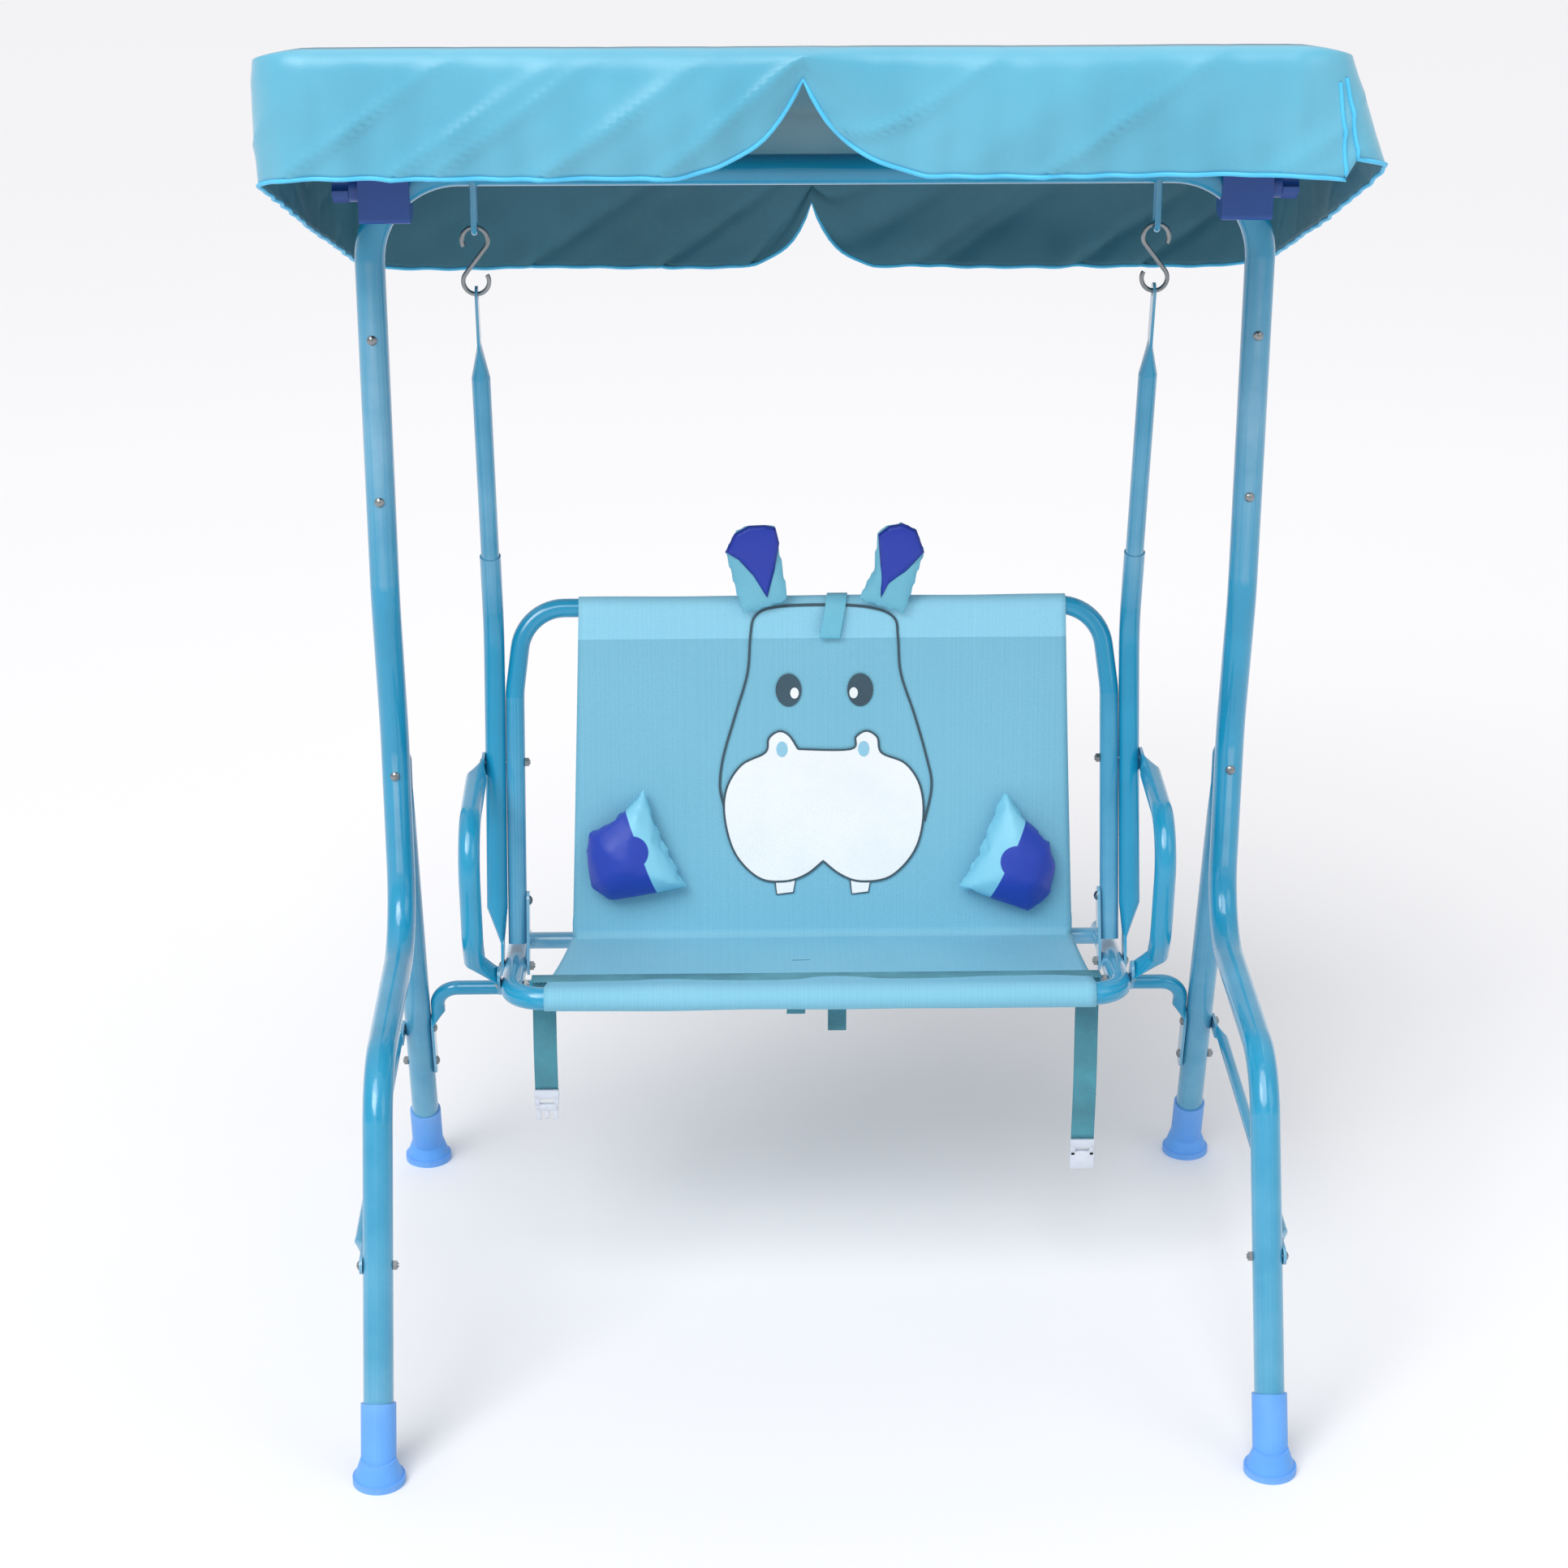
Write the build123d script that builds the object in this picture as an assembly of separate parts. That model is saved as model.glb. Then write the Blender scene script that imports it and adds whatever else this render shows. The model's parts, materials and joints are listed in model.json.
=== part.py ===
from build123d import *
from math import asin, cos, degrees, hypot, radians, sin, tan
import os

# A child's canopy swing: a tubular stand, a tilting canopy and a sling seat on two S-hooks.
# Millimetres, +Z up, the child faces -Y. It is laid out from the middle of the stand on the floor,
# and written with its origin on the floor under the middle of the whole swing.

# Stand
STAND_WIDTH = 880.0        # between the centre planes of the two side frames
FOOT_REACH = 336.0         # from the middle of the stand to the front and to the rear feet
TUBE = 30.0                # main tube, outside
WALL = 1.2                 # wall of every tube
POST_Y = 130.0             # plane of the top arch and of the upper posts
ARCH_Z = 1200.0            # axis of the arch's level run
ARCH_BEND = 90.0           # bend radius of the arch's shoulders
SEAM_BELOW_ARCH = 250.0    # the arch ends and the legs begin
SPIGOT_LENGTH = 250.0      # joining tube inside the seam
SPIGOT_BOLT_OFFSET = 84.0  # its two bolts, above and below the seam
KNEE_TOP_Z = 755.0         # the post leans back from here
KNEE_LOW_Z = 600.0         # and is upright again from here
KNEE_SET_BACK = 30.0       # how far it has moved back by then
SHOULDER_Z = 366.0         # the front leg turns forward here
SHOULDER_BEND = 80.0
SHOULDER_FRONT_Y = -165.0  # and turns down to the floor here
REAR_FLAT = 26.0           # from the rear leg's bolt to where its flat begins
REAR_PINCH = 44.0
REAR_SET_BACK = 17.0       # the round tube starts this far behind its flat
KNEE_BEND = 240.0
REAR_BOLT_Z = 555.0        # where the rear leg is bolted to the back of the post
TUBE_CUT_Z = 16.0          # the leg tubes stop this far above the floor

# Braces and the rear crossbar
BRACE_TUBE = 12.0
BRACE_FLAT = 25.0          # from a brace bolt to where its flat end begins
BRACE_PINCH = 22.0
CROSSBAR_TUBE = 16.0
CROSSBAR_Z = 252.0
CROSSBAR_BEND = 24.0
CROSSBAR_BOLT_Z = (194.0, 146.0)  # the upper bolt also holds the brace

# Feet
FOOT_FLANGE = 52.0
FOOT_FLANGE_THICKNESS = 7.0
FOOT_CONE_HEIGHT = 26.0
FOOT_SLEEVE_HEIGHT = 72.0
FOOT_WALL = 2.4

# Hooks and hook eyes
HOOK_INSET = 104.0         # from a side frame's plane in to a hook
EYE_ROD = 6.0
EYE_RADIUS = 9.0
EYE_DROP = 61.0            # from the arch's axis down to the axis of the eye's lowest bend
HOOK_WIRE = 4.5
HOOK_WIDTH = 30.0
HOOK_LENGTH = 72.0
HOOK_LOOP_TURN = 210.0

# Hanger arms
HANGER_TUBE = 22.0
HANGER_UPPER_TUBE = 19.0
HANGER_FLAT_LENGTH = 52.0
HANGER_STEP_Z = 774.0      # the upper tube slides into the lower one here
HANGER_INSERT = 38.0
HANGER_PINCH = 40.0        # from flat to round
HANGER_KNEE = (160.0, 681.0)
HANGER_FOOT_FLAT = 22.0
HANGER_FOOT_PINCH = 40.0
HANGER_BENDS = [110.0, 300.0]
HOOK_HOLE = 8.0

# Seat and back, laid out as if the arms hung square, then turned back by SEAT_TURN about the
# hooks, which brings the empty seat's centre of gravity under them
SEAT_TURN = 8.5
BACK_TUBE = 20.0
BACK_BOLT = (100.0, 556.0)  # arm, back frame and armrest share this bolt
BACK_RECLINE = 27.0
BACK_TOP_Z = 701.0
BACK_END_Z = 384.0
BACK_SHOULDER = 88.0       # the back's uprights lean inward over this length
BACK_SHOULDER_LEAN = 11.0
BACK_CORNER = 48.0
BACK_SHOULDER_BEND = 120.0
RAIL_TUBE = 24.0
SEAT_FRONT = (-110.0, 396.0)
SEAT_BOLT_Y = -5.0
SEAT_SLOPE = 15.5
SEAT_REAR_Y = 98.0
REAR_TUBE = 18.0
REAR_TUBE_Y = 78.0
SEAT_CORNER = 36.0
ARMREST_TUBE = 22.0
ARMREST_STANDOFF = 18.0    # armrest axis outside the hanger arm's axis
ARMREST_FRONT_Y = -95.0
ARMREST_SLOPE = 0.14       # its top rises forward by this much
ARMREST_FOOT_LEAN = 0.42   # its foot leans forward by this much
ARMREST_TOP_FLAT = 16.0
ARMREST_FOOT_FLAT = 15.0
ARMREST_PINCH = 30.0
ARMREST_FOOT_RUN = 34.0
ARMREST_BENDS = [50.0, 60.0]
ARMREST_FOOT_Y = -64.0
LINK_RISE = 58.0
LINK_WIDTH = 20.0

# Canopy
CANOPY_OVERHANG = 43.0     # beyond a side frame's plane, to the outside of the cover
CANOPY_FRONT = 356.0       # from the pivot to the front edge, along the canopy
CANOPY_REAR = 399.0        # from the pivot to the rear edge, along the canopy
CANOPY_TILT = 20.0         # front edge up
CANOPY_RISE = 73.0         # from the pivot up to the top of the cover
CANOPY_TUBE = 16.0
CANOPY_CORNER = 48.0
HOOP_GAP = 14.0            # between the ends of the two hoops, inside the socket
COVER_THICKNESS = 2.4
VALANCE = 113.0
FRONT_NOTCH = (86.0, 112.0)  # height and half width of the bell-shaped gap
REAR_NOTCH = (70.0, 64.0)
PIVOT_BELOW_ARCH = 15.0
BRACKET_REACH = 7.0        # bracket's outer face beyond a side frame's plane
BRACKET_DEPTH = 50.0
BRACKET_WIDTH = 40.0
BRACKET_HEIGHT = 56.0
SOCKET_LENGTH = 92.0
SOCKET_SIZE = 24.0
EAR_THICKNESS = 9.0
EAR_RADIUS = 15.0
KNOB_DIAMETER = 32.0
KNOB_LENGTH = 16.0

# Plates, bolts and soft parts
PLATE = 3.0
BOLT = 5.0
LINK_SCREW = 14.0
HEAD = 10.0
HEAD_HEIGHT = 3.2
NUT = 9.0
NUT_HEIGHT = 4.0
STUD = 6.0
SLING_THICKNESS = 2.0
SLING_HALF_TOP = 257.0
SLING_HALF_CREASE = 265.0
SLING_HALF_FRONT = 279.0
WEBBING = 25.0
WEBBING_THICKNESS = 2.0
CREASE = (55.0, 363.0)     # where the sling turns from seat to back
BELT_Y = -76.0
BELT_X = 284.0
LEFT_BELT_END_Z = 211.0
RIGHT_BELT_END_Z = 146.0
BUCKLE_LENGTH = 34.0
BUCKLE_WIDTH = 26.0
BUCKLE_THICKNESS = 8.0
TAB_Y = -20.0
TABS = ((-14.0, 62.0), (24.0, 82.0))  # middle and length of each strap end
TAB_WIDTH = 20.0
TAB_GAP = 2.5              # below the sling
PAW_X = 184.0
PAW_ALONG = -78.0          # below the middle of the back rest
PAW_WIDTH = 112.0
PAW_HEIGHT = 108.0
PAW_DEPTH = 40.0
PRINT_OFFSET = 11.0        # the printed face sits this far right of the middle
EAR_CENTRE = 75.0
EAR_WIDTH = 56.0
EAR_HEIGHT = 76.0
EAR_DEPTH = 16.0
LOCK_X = 21.0
LOCK_LENGTH = 46.0
LOCK_WIDTH = 28.0
LOCK_DEPTH = 10.0
LOCK_BELOW_TOP = 30.0

# Clearances
BOLT_CLEARANCE = 0.2       # round a bolt, on the radius
FACE_GAP = 0.05            # between a bolt head or nut and what it clamps
SLIP_CLEARANCE = 0.1       # tube in tube, on the radius
PIVOT_CLEARANCE = 0.06     # round a turning pin, on the radius
SIDE_CLEARANCE = 0.3       # between turning faces
SOFT_CLEARANCE = 0.5       # between a soft part and its neighbour

SIDES = (("left", -1), ("right", 1))
STAND_X = STAND_WIDTH / 2
HOOK_X = STAND_X - HOOK_INSET
ARMREST_X = HOOK_X + ARMREST_STANDOFF
BACK_X = HOOK_X - HANGER_TUBE / 2 - BACK_TUBE / 2 - SLIP_CLEARANCE
BACK_INNER_X = BACK_X - BACK_TUBE / 2
RAIL_X = BACK_INNER_X + RAIL_TUBE / 2
RAIL_OUTER_X = RAIL_X + RAIL_TUBE / 2
SEAM_Z = ARCH_Z - SEAM_BELOW_ARCH
EYE_Z = ARCH_Z - EYE_DROP
HOOK_TOP_Z = EYE_Z + EYE_ROD / 2 + HOOK_WIRE / 2 + SLIP_CLEARANCE
HOOK_LOW_Z = HOOK_TOP_Z - HOOK_LENGTH + HOOK_WIRE
PIVOT_Z = ARCH_Z - PIVOT_BELOW_ARCH
BRACKET_FACE_X = STAND_X + BRACKET_REACH
EAR_X = BRACKET_FACE_X + SIDE_CLEARANCE
KNOB_X = EAR_X + EAR_THICKNESS + SIDE_CLEARANCE
COVER_X = STAND_X + CANOPY_OVERHANG
HOOP_X = COVER_X - COVER_THICKNESS - SOFT_CLEARANCE - SOCKET_SIZE / 2
HOOP_UP = CANOPY_RISE - COVER_THICKNESS - SOFT_CLEARANCE - SOCKET_SIZE / 2
POST_LOW_Y = POST_Y + KNEE_SET_BACK

parts = {}


def straight_tube(start, end, diameter, wall=WALL):
    axis = Vector(*end) - Vector(*start)
    place = Plane(origin=start, z_dir=axis)
    ring = Circle(diameter / 2) - Circle(diameter / 2 - wall)
    return extrude(place * ring, amount=axis.length)


def straight_rod(start, end, diameter):
    axis = Vector(*end) - Vector(*start)
    return extrude(Plane(origin=start, z_dir=axis) * Circle(diameter / 2), amount=axis.length)


def bent_path(points, radii):
    return FilletPolyline(*[Vector(*point) for point in points], radius=radii)


def bent_tube(points, radii, diameter, wall=WALL):
    path = bent_path(points, radii)
    place = Plane(origin=path @ 0, z_dir=path % 0)
    return sweep(place * (Circle(diameter / 2) - Circle(diameter / 2 - wall)), path=path)


def bent_rod(points, radii, diameter):
    path = bent_path(points, radii)
    return sweep(Plane(origin=path @ 0, z_dir=path % 0) * Circle(diameter / 2), path=path)


def pinched_end(tube_end, tube_way, flat_start, flat_way, diameter, width, thin_way):
    """The stretch where a round tube is pressed flat: a loft from its round end to a flat section."""
    thin, round_way, along = Vector(*thin_way), Vector(*tube_way), Vector(*flat_way)
    round_place = Plane(origin=tube_end, x_dir=round_way.cross(thin), z_dir=round_way)
    flat_place = Plane(origin=flat_start, x_dir=along.cross(thin), z_dir=along)
    round_face = round_place * Circle(diameter / 2)
    flat_face = flat_place * Ellipse(width / 2, PLATE / 2)
    return loft([round_face, flat_face])


def tongue(start, end, width, thin_way, thickness=PLATE):
    """A flat bar with round ends, from one centre to the other."""
    along = Vector(*end) - Vector(*start)
    middle = (Vector(*end) + Vector(*start)) * 0.5
    place = Plane(origin=middle, x_dir=along, z_dir=Vector(*thin_way))
    return extrude(place * SlotCenterToCenter(along.length, width), amount=thickness / 2, both=True)


def drill(centre, way, diameter, reach=60.0):
    place = Plane(origin=centre, z_dir=Vector(*way))
    return extrude(place * Circle(diameter / 2), amount=reach, both=True)


def bolt_and_nut(seat, way, grip, diameter=BOLT):
    """A dome-headed bolt whose head seats at seat and points against way, with its nut at the far end."""
    place = Plane(origin=seat, z_dir=Vector(*way)) * Pos(0, 0, -FACE_GAP)
    shank = extrude(Circle(diameter / 2), amount=grip + NUT_HEIGHT + 1.5)
    head = Cylinder(HEAD / 2, HEAD_HEIGHT, align=(Align.CENTER, Align.CENTER, Align.MAX))
    head &= Pos(0, 0, HEAD * 0.62 - HEAD_HEIGHT) * Sphere(HEAD * 0.62)
    hexagon = RegularPolygon(NUT / 2, 6, major_radius=False) - Circle(diameter / 2 + SLIP_CLEARANCE)
    nut = Pos(0, 0, grip + 2 * FACE_GAP) * extrude(hexagon, amount=NUT_HEIGHT)
    return [place * (shank + head), place * nut]


def line_at(point, slope, z):
    """The Y of a leaning line at height z, for a line through point with dY/dZ of slope."""
    return point[0] + (z - point[1]) * slope


# ---------------------------------------------------------------- stand

front_slope = (SHOULDER_FRONT_Y + FOOT_REACH) / SHOULDER_Z
rear_flat_y = POST_LOW_Y + TUBE / 2 + PLATE / 2
REAR_FLAT_END_Z = REAR_BOLT_Z - REAR_FLAT
REAR_TUBE_TOP_Z = REAR_FLAT_END_Z - REAR_PINCH
rear_tube_top_y = rear_flat_y + REAR_SET_BACK
rear_slope = -(FOOT_REACH - rear_tube_top_y) / REAR_TUBE_TOP_Z


def front_leg_y(z):
    return line_at((-FOOT_REACH, 0.0), front_slope, z)


def rear_leg_y(z):
    return line_at((FOOT_REACH, 0.0), rear_slope, z)


arch_points = [
    (-STAND_X, POST_Y, SEAM_Z),
    (-STAND_X, POST_Y, ARCH_Z),
    (STAND_X, POST_Y, ARCH_Z),
    (STAND_X, POST_Y, SEAM_Z),
]
arch_radii = [ARCH_BEND, ARCH_BEND]
arch = bent_tube(arch_points, arch_radii, TUBE)

sleeve_bolts, leg_bolts, brace_bolts, crossbar_bolts, pivot_studs = [], [], [], [], []

for side, sign in SIDES:
    x = sign * STAND_X
    spigot = straight_tube(
        (x, POST_Y, SEAM_Z - SPIGOT_LENGTH / 2),
        (x, POST_Y, SEAM_Z + SPIGOT_LENGTH / 2),
        TUBE - 2 * WALL - 2 * SLIP_CLEARANCE,
    )
    leg_points = [
        (x, POST_Y, SEAM_Z),
        (x, POST_Y, KNEE_TOP_Z),
        (x, POST_LOW_Y, KNEE_LOW_Z),
        (x, POST_LOW_Y, SHOULDER_Z),
        (x, SHOULDER_FRONT_Y, SHOULDER_Z),
        (x, front_leg_y(TUBE_CUT_Z), TUBE_CUT_Z),
    ]
    leg_radii = [KNEE_BEND, KNEE_BEND, SHOULDER_BEND, SHOULDER_BEND]
    leg = bent_tube(leg_points, leg_radii, TUBE)
    for z in (SEAM_Z + SPIGOT_BOLT_OFFSET, SEAM_Z - SPIGOT_BOLT_OFFSET):
        hole = drill((x, POST_Y, z), (0, 1, 0), BOLT + 2 * BOLT_CLEARANCE)
        arch, leg, spigot = arch - hole, leg - hole, spigot - hole
        sleeve_bolts += bolt_and_nut((x, POST_Y - TUBE / 2, z), (0, 1, 0), TUBE)

    # Rear leg: a straight tube whose flattened top lies on the back of the post.
    flat_end = (x, rear_flat_y, REAR_FLAT_END_Z)
    tube_top = (x, rear_tube_top_y, REAR_TUBE_TOP_Z)
    rear_way = (0, -rear_slope, -1)
    rear_leg = straight_tube(tube_top, (x, rear_leg_y(TUBE_CUT_Z), TUBE_CUT_Z), TUBE)
    rear_leg += pinched_end(tube_top, rear_way, flat_end, (0, 0, -1), TUBE, TUBE, (0, 1, 0))
    rear_leg += tongue(flat_end, (x, rear_flat_y, REAR_BOLT_Z + 6), TUBE, (0, 1, 0))
    hole = drill((x, rear_flat_y, REAR_BOLT_Z), (0, 1, 0), BOLT + 2 * BOLT_CLEARANCE)
    leg, rear_leg = leg - hole, rear_leg - hole
    leg_bolts += bolt_and_nut((x, POST_LOW_Y - TUBE / 2, REAR_BOLT_Z), (0, 1, 0), TUBE + PLATE)

    # Brace: a thin tube on the outside, flat at both ends.
    brace_z = CROSSBAR_BOLT_Z[0]
    flat_x = sign * (STAND_X + TUBE / 2 + PLATE / 2)
    brace_x = sign * (STAND_X + TUBE / 2 + BRACE_TUBE / 2 + SOFT_CLEARANCE)
    flat_width = BRACE_TUBE * 1.45
    eyes = ((front_leg_y(brace_z), -1), (rear_leg_y(brace_z), 1))
    tube_ends = [(brace_x, y - way * (BRACE_FLAT + BRACE_PINCH), brace_z) for y, way in eyes]
    brace = straight_tube(*tube_ends, BRACE_TUBE)
    for (y, way), tube_end in zip(eyes, tube_ends):
        flat = (flat_x, y - way * BRACE_FLAT, brace_z)
        brace += pinched_end(tube_end, (0, way, 0), flat, (0, way, 0), BRACE_TUBE, flat_width, (1, 0, 0))
        brace += tongue(flat, (flat_x, y, brace_z), flat_width, (1, 0, 0))
        brace -= drill((flat_x, y, brace_z), (1, 0, 0), BOLT + 2 * BOLT_CLEARANCE)
    front_hole = drill((x, front_leg_y(brace_z), brace_z), (1, 0, 0), BOLT + 2 * BOLT_CLEARANCE)
    leg -= front_hole
    head_x = sign * (STAND_X + TUBE / 2 + PLATE)
    brace_bolts += bolt_and_nut((head_x, front_leg_y(brace_z), brace_z), (-sign, 0, 0), TUBE + PLATE)

    for z, grip in zip(CROSSBAR_BOLT_Z, (TUBE + 2 * PLATE, TUBE + PLATE)):
        inner_x = sign * (STAND_X - TUBE / 2 - PLATE)
        rear_leg -= drill((x, rear_leg_y(z), z), (1, 0, 0), BOLT + 2 * BOLT_CLEARANCE)
        crossbar_bolts += bolt_and_nut((inner_x, rear_leg_y(z), z), (sign, 0, 0), grip)

    # Feet: a moulded boot over each tube end, with a flat round sole.
    for place, leg_y, slope in (("front", front_leg_y, front_slope), ("rear", rear_leg_y, rear_slope)):
        low = (x, leg_y(TUBE_CUT_Z), TUBE_CUT_Z)
        high = (x, leg_y(FOOT_SLEEVE_HEIGHT), FOOT_SLEEVE_HEIGHT)
        above = (x, leg_y(FOOT_SLEEVE_HEIGHT + TUBE), FOOT_SLEEVE_HEIGHT + TUBE)
        sole_y = leg_y(FOOT_CONE_HEIGHT / 2)
        boot = straight_rod(low, high, TUBE + 2 * (SLIP_CLEARANCE + FOOT_WALL))
        boot += Pos(x, sole_y, FOOT_FLANGE_THICKNESS / 2) * Cylinder(
            FOOT_FLANGE / 2, FOOT_FLANGE_THICKNESS
        )
        cone_height = FOOT_CONE_HEIGHT - FOOT_FLANGE_THICKNESS
        boot += Pos(x, sole_y, FOOT_FLANGE_THICKNESS + cone_height / 2) * Cone(
            FOOT_FLANGE / 2 - 2, TUBE / 2 + SLIP_CLEARANCE + FOOT_WALL, cone_height
        )
        boot -= straight_rod(low, above, TUBE + 2 * SLIP_CLEARANCE)
        parts[f"{place}_{side}_foot"] = boot

    # Hook eye: a U of rod under the arch, its legs cut to the arch's underside and welded there.
    hook_x = sign * HOOK_X
    eye_points = [
        (hook_x, POST_Y - EYE_RADIUS, ARCH_Z),
        (hook_x, POST_Y - EYE_RADIUS, EYE_Z),
        (hook_x, POST_Y + EYE_RADIUS, EYE_Z),
        (hook_x, POST_Y + EYE_RADIUS, ARCH_Z),
    ]
    eye = bent_rod(eye_points, [EYE_RADIUS - 0.05, EYE_RADIUS - 0.05], EYE_ROD)
    parts[f"{side}_hook_eye"] = eye - drill((hook_x, POST_Y, ARCH_Z), (1, 0, 0), TUBE)

    # Canopy bracket: a moulded block that fills the outside of the arch's shoulder, with the pivot stud.
    bracket_inner = BRACKET_FACE_X - BRACKET_DEPTH
    bracket = Pos(sign * (BRACKET_FACE_X + bracket_inner) / 2, POST_Y, PIVOT_Z - 6) * Box(
        BRACKET_DEPTH, BRACKET_WIDTH, BRACKET_HEIGHT
    )
    bracket = fillet(bracket.edges().filter_by(Axis.X), 6.0)
    arch_room = bent_rod(arch_points, arch_radii, TUBE + 2 * SLIP_CLEARANCE)
    stud_start = (sign * (BRACKET_FACE_X - 18), POST_Y, PIVOT_Z)
    stud_end = (sign * (KNOB_X + KNOB_LENGTH - 3), POST_Y, PIVOT_Z)
    bracket -= arch_room + straight_rod(stud_start, stud_end, STUD + 2 * SLIP_CLEARANCE)
    bracket = max(bracket.solids(), key=lambda solid: solid.volume)
    pivot_studs.append(straight_rod(stud_start, stud_end, STUD))

    parts[f"{side}_joining_sleeve"] = spigot
    parts[f"{side}_front_leg"] = leg
    parts[f"{side}_rear_leg"] = rear_leg
    parts[f"{side}_brace"] = brace
    parts[f"{side}_canopy_bracket"] = bracket

parts["top_arch"] = arch
parts["sleeve_bolts"] = Compound(children=sleeve_bolts)
parts["rear_leg_bolts"] = Compound(children=leg_bolts)
parts["brace_bolts"] = Compound(children=brace_bolts)
parts["crossbar_bolts"] = Compound(children=crossbar_bolts)
parts["pivot_studs"] = Compound(children=pivot_studs)

# Rear crossbar: its ends turn down along the rear legs and are pressed flat against them.
bar_x = STAND_X - TUBE / 2 - CROSSBAR_TUBE / 2 - SOFT_CLEARANCE
flat_bar_x = STAND_X - TUBE / 2 - PLATE / 2
turn_low_z = CROSSBAR_Z - CROSSBAR_BEND - 8
flat_top_z = CROSSBAR_BOLT_Z[0] + 8
bar_points = [
    (-bar_x, rear_leg_y(turn_low_z), turn_low_z),
    (-bar_x, rear_leg_y(CROSSBAR_Z), CROSSBAR_Z),
    (bar_x, rear_leg_y(CROSSBAR_Z), CROSSBAR_Z),
    (bar_x, rear_leg_y(turn_low_z), turn_low_z),
]
crossbar = bent_tube(bar_points, [CROSSBAR_BEND, CROSSBAR_BEND], CROSSBAR_TUBE)
for side, sign in SIDES:
    down = (0, -rear_slope, -1)
    flat_top = (sign * flat_bar_x, rear_leg_y(flat_top_z), flat_top_z)
    flat_low_z = CROSSBAR_BOLT_Z[1] - 4
    flat_low = (sign * flat_bar_x, rear_leg_y(flat_low_z), flat_low_z)
    tube_end = (sign * bar_x, rear_leg_y(turn_low_z), turn_low_z)
    width = CROSSBAR_TUBE * 1.4
    crossbar += pinched_end(tube_end, down, flat_top, down, CROSSBAR_TUBE, width, (1, 0, 0))
    crossbar += tongue(flat_top, flat_low, width, (1, 0, 0))
    for z in CROSSBAR_BOLT_Z:
        crossbar -= drill(
            (sign * flat_bar_x, rear_leg_y(z), z), (1, 0, 0), BOLT + 2 * BOLT_CLEARANCE, reach=10
        )
parts["rear_crossbar"] = crossbar

# ---------------------------------------------------------------- hooks

loop_radius = (HOOK_WIDTH - HOOK_WIRE) / 2
half_gap = (HOOK_TOP_Z - HOOK_LOW_Z) / 2 - loop_radius
lean = degrees(asin(loop_radius / half_gap))
for side, sign in SIDES:
    # Two open loops joined by the straight run that touches both.
    middle = (sign * HOOK_X, POST_Y, (HOOK_TOP_Z + HOOK_LOW_Z) / 2)
    place = Plane(origin=middle, x_dir=(sign, 0, 0), z_dir=(0, -sign, 0))
    upper = CenterArc((0, half_gap), loop_radius, 180.0 + lean, -(HOOK_LOOP_TURN + lean))
    lower = CenterArc((0, -half_gap), loop_radius, lean, -(HOOK_LOOP_TURN + lean))
    wire = Wire((place * (Curve() + [upper, Line(upper @ 0, lower @ 0), lower])).edges())
    section = Plane(origin=wire @ 0, z_dir=wire % 0) * Circle(HOOK_WIRE / 2)
    parts[f"{side}_s_hook"] = sweep(section, path=wire)

# ---------------------------------------------------------------- seat

recline = radians(BACK_RECLINE)
back_way = Vector(0, sin(recline), cos(recline))


def rail_z(y):
    return SEAT_FRONT[1] - (y - SEAT_FRONT[0]) * tan(radians(SEAT_SLOPE))


def back_y(z):
    return BACK_BOLT[0] + (z - BACK_BOLT[1]) * tan(recline)


seat_bolt_z = rail_z(SEAT_BOLT_Y)
rail_points = [
    (-RAIL_X, SEAT_REAR_Y, rail_z(SEAT_REAR_Y)),
    (-RAIL_X, SEAT_FRONT[0], SEAT_FRONT[1]),
    (RAIL_X, SEAT_FRONT[0], SEAT_FRONT[1]),
    (RAIL_X, SEAT_REAR_Y, rail_z(SEAT_REAR_Y)),
]
seat_frame = bent_tube(rail_points, [SEAT_CORNER, SEAT_CORNER], RAIL_TUBE)
rail_body = bent_rod(rail_points, [SEAT_CORNER, SEAT_CORNER], RAIL_TUBE)
rear_z = rail_z(REAR_TUBE_Y)
rear_tube = straight_tube((-RAIL_X, REAR_TUBE_Y, rear_z), (RAIL_X, REAR_TUBE_Y, rear_z), REAR_TUBE)
rear_tube = max((rear_tube - rail_body).solids(), key=lambda solid: solid.volume)

top = Vector(0, back_y(BACK_TOP_Z), BACK_TOP_Z)
bottom = Vector(0, back_y(BACK_END_Z), BACK_END_Z)
shoulder = top - back_way * BACK_SHOULDER
back_points = [
    tuple(point + Vector(x, 0, 0))
    for point, x in (
        (bottom, -BACK_X),
        (shoulder, -BACK_X),
        (top, -BACK_X + BACK_SHOULDER_LEAN),
        (top, BACK_X - BACK_SHOULDER_LEAN),
        (shoulder, BACK_X),
        (bottom, BACK_X),
    )
]
back_frame = bent_tube(
    back_points, [BACK_SHOULDER_BEND, BACK_CORNER, BACK_CORNER, BACK_SHOULDER_BEND], BACK_TUBE
)

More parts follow.
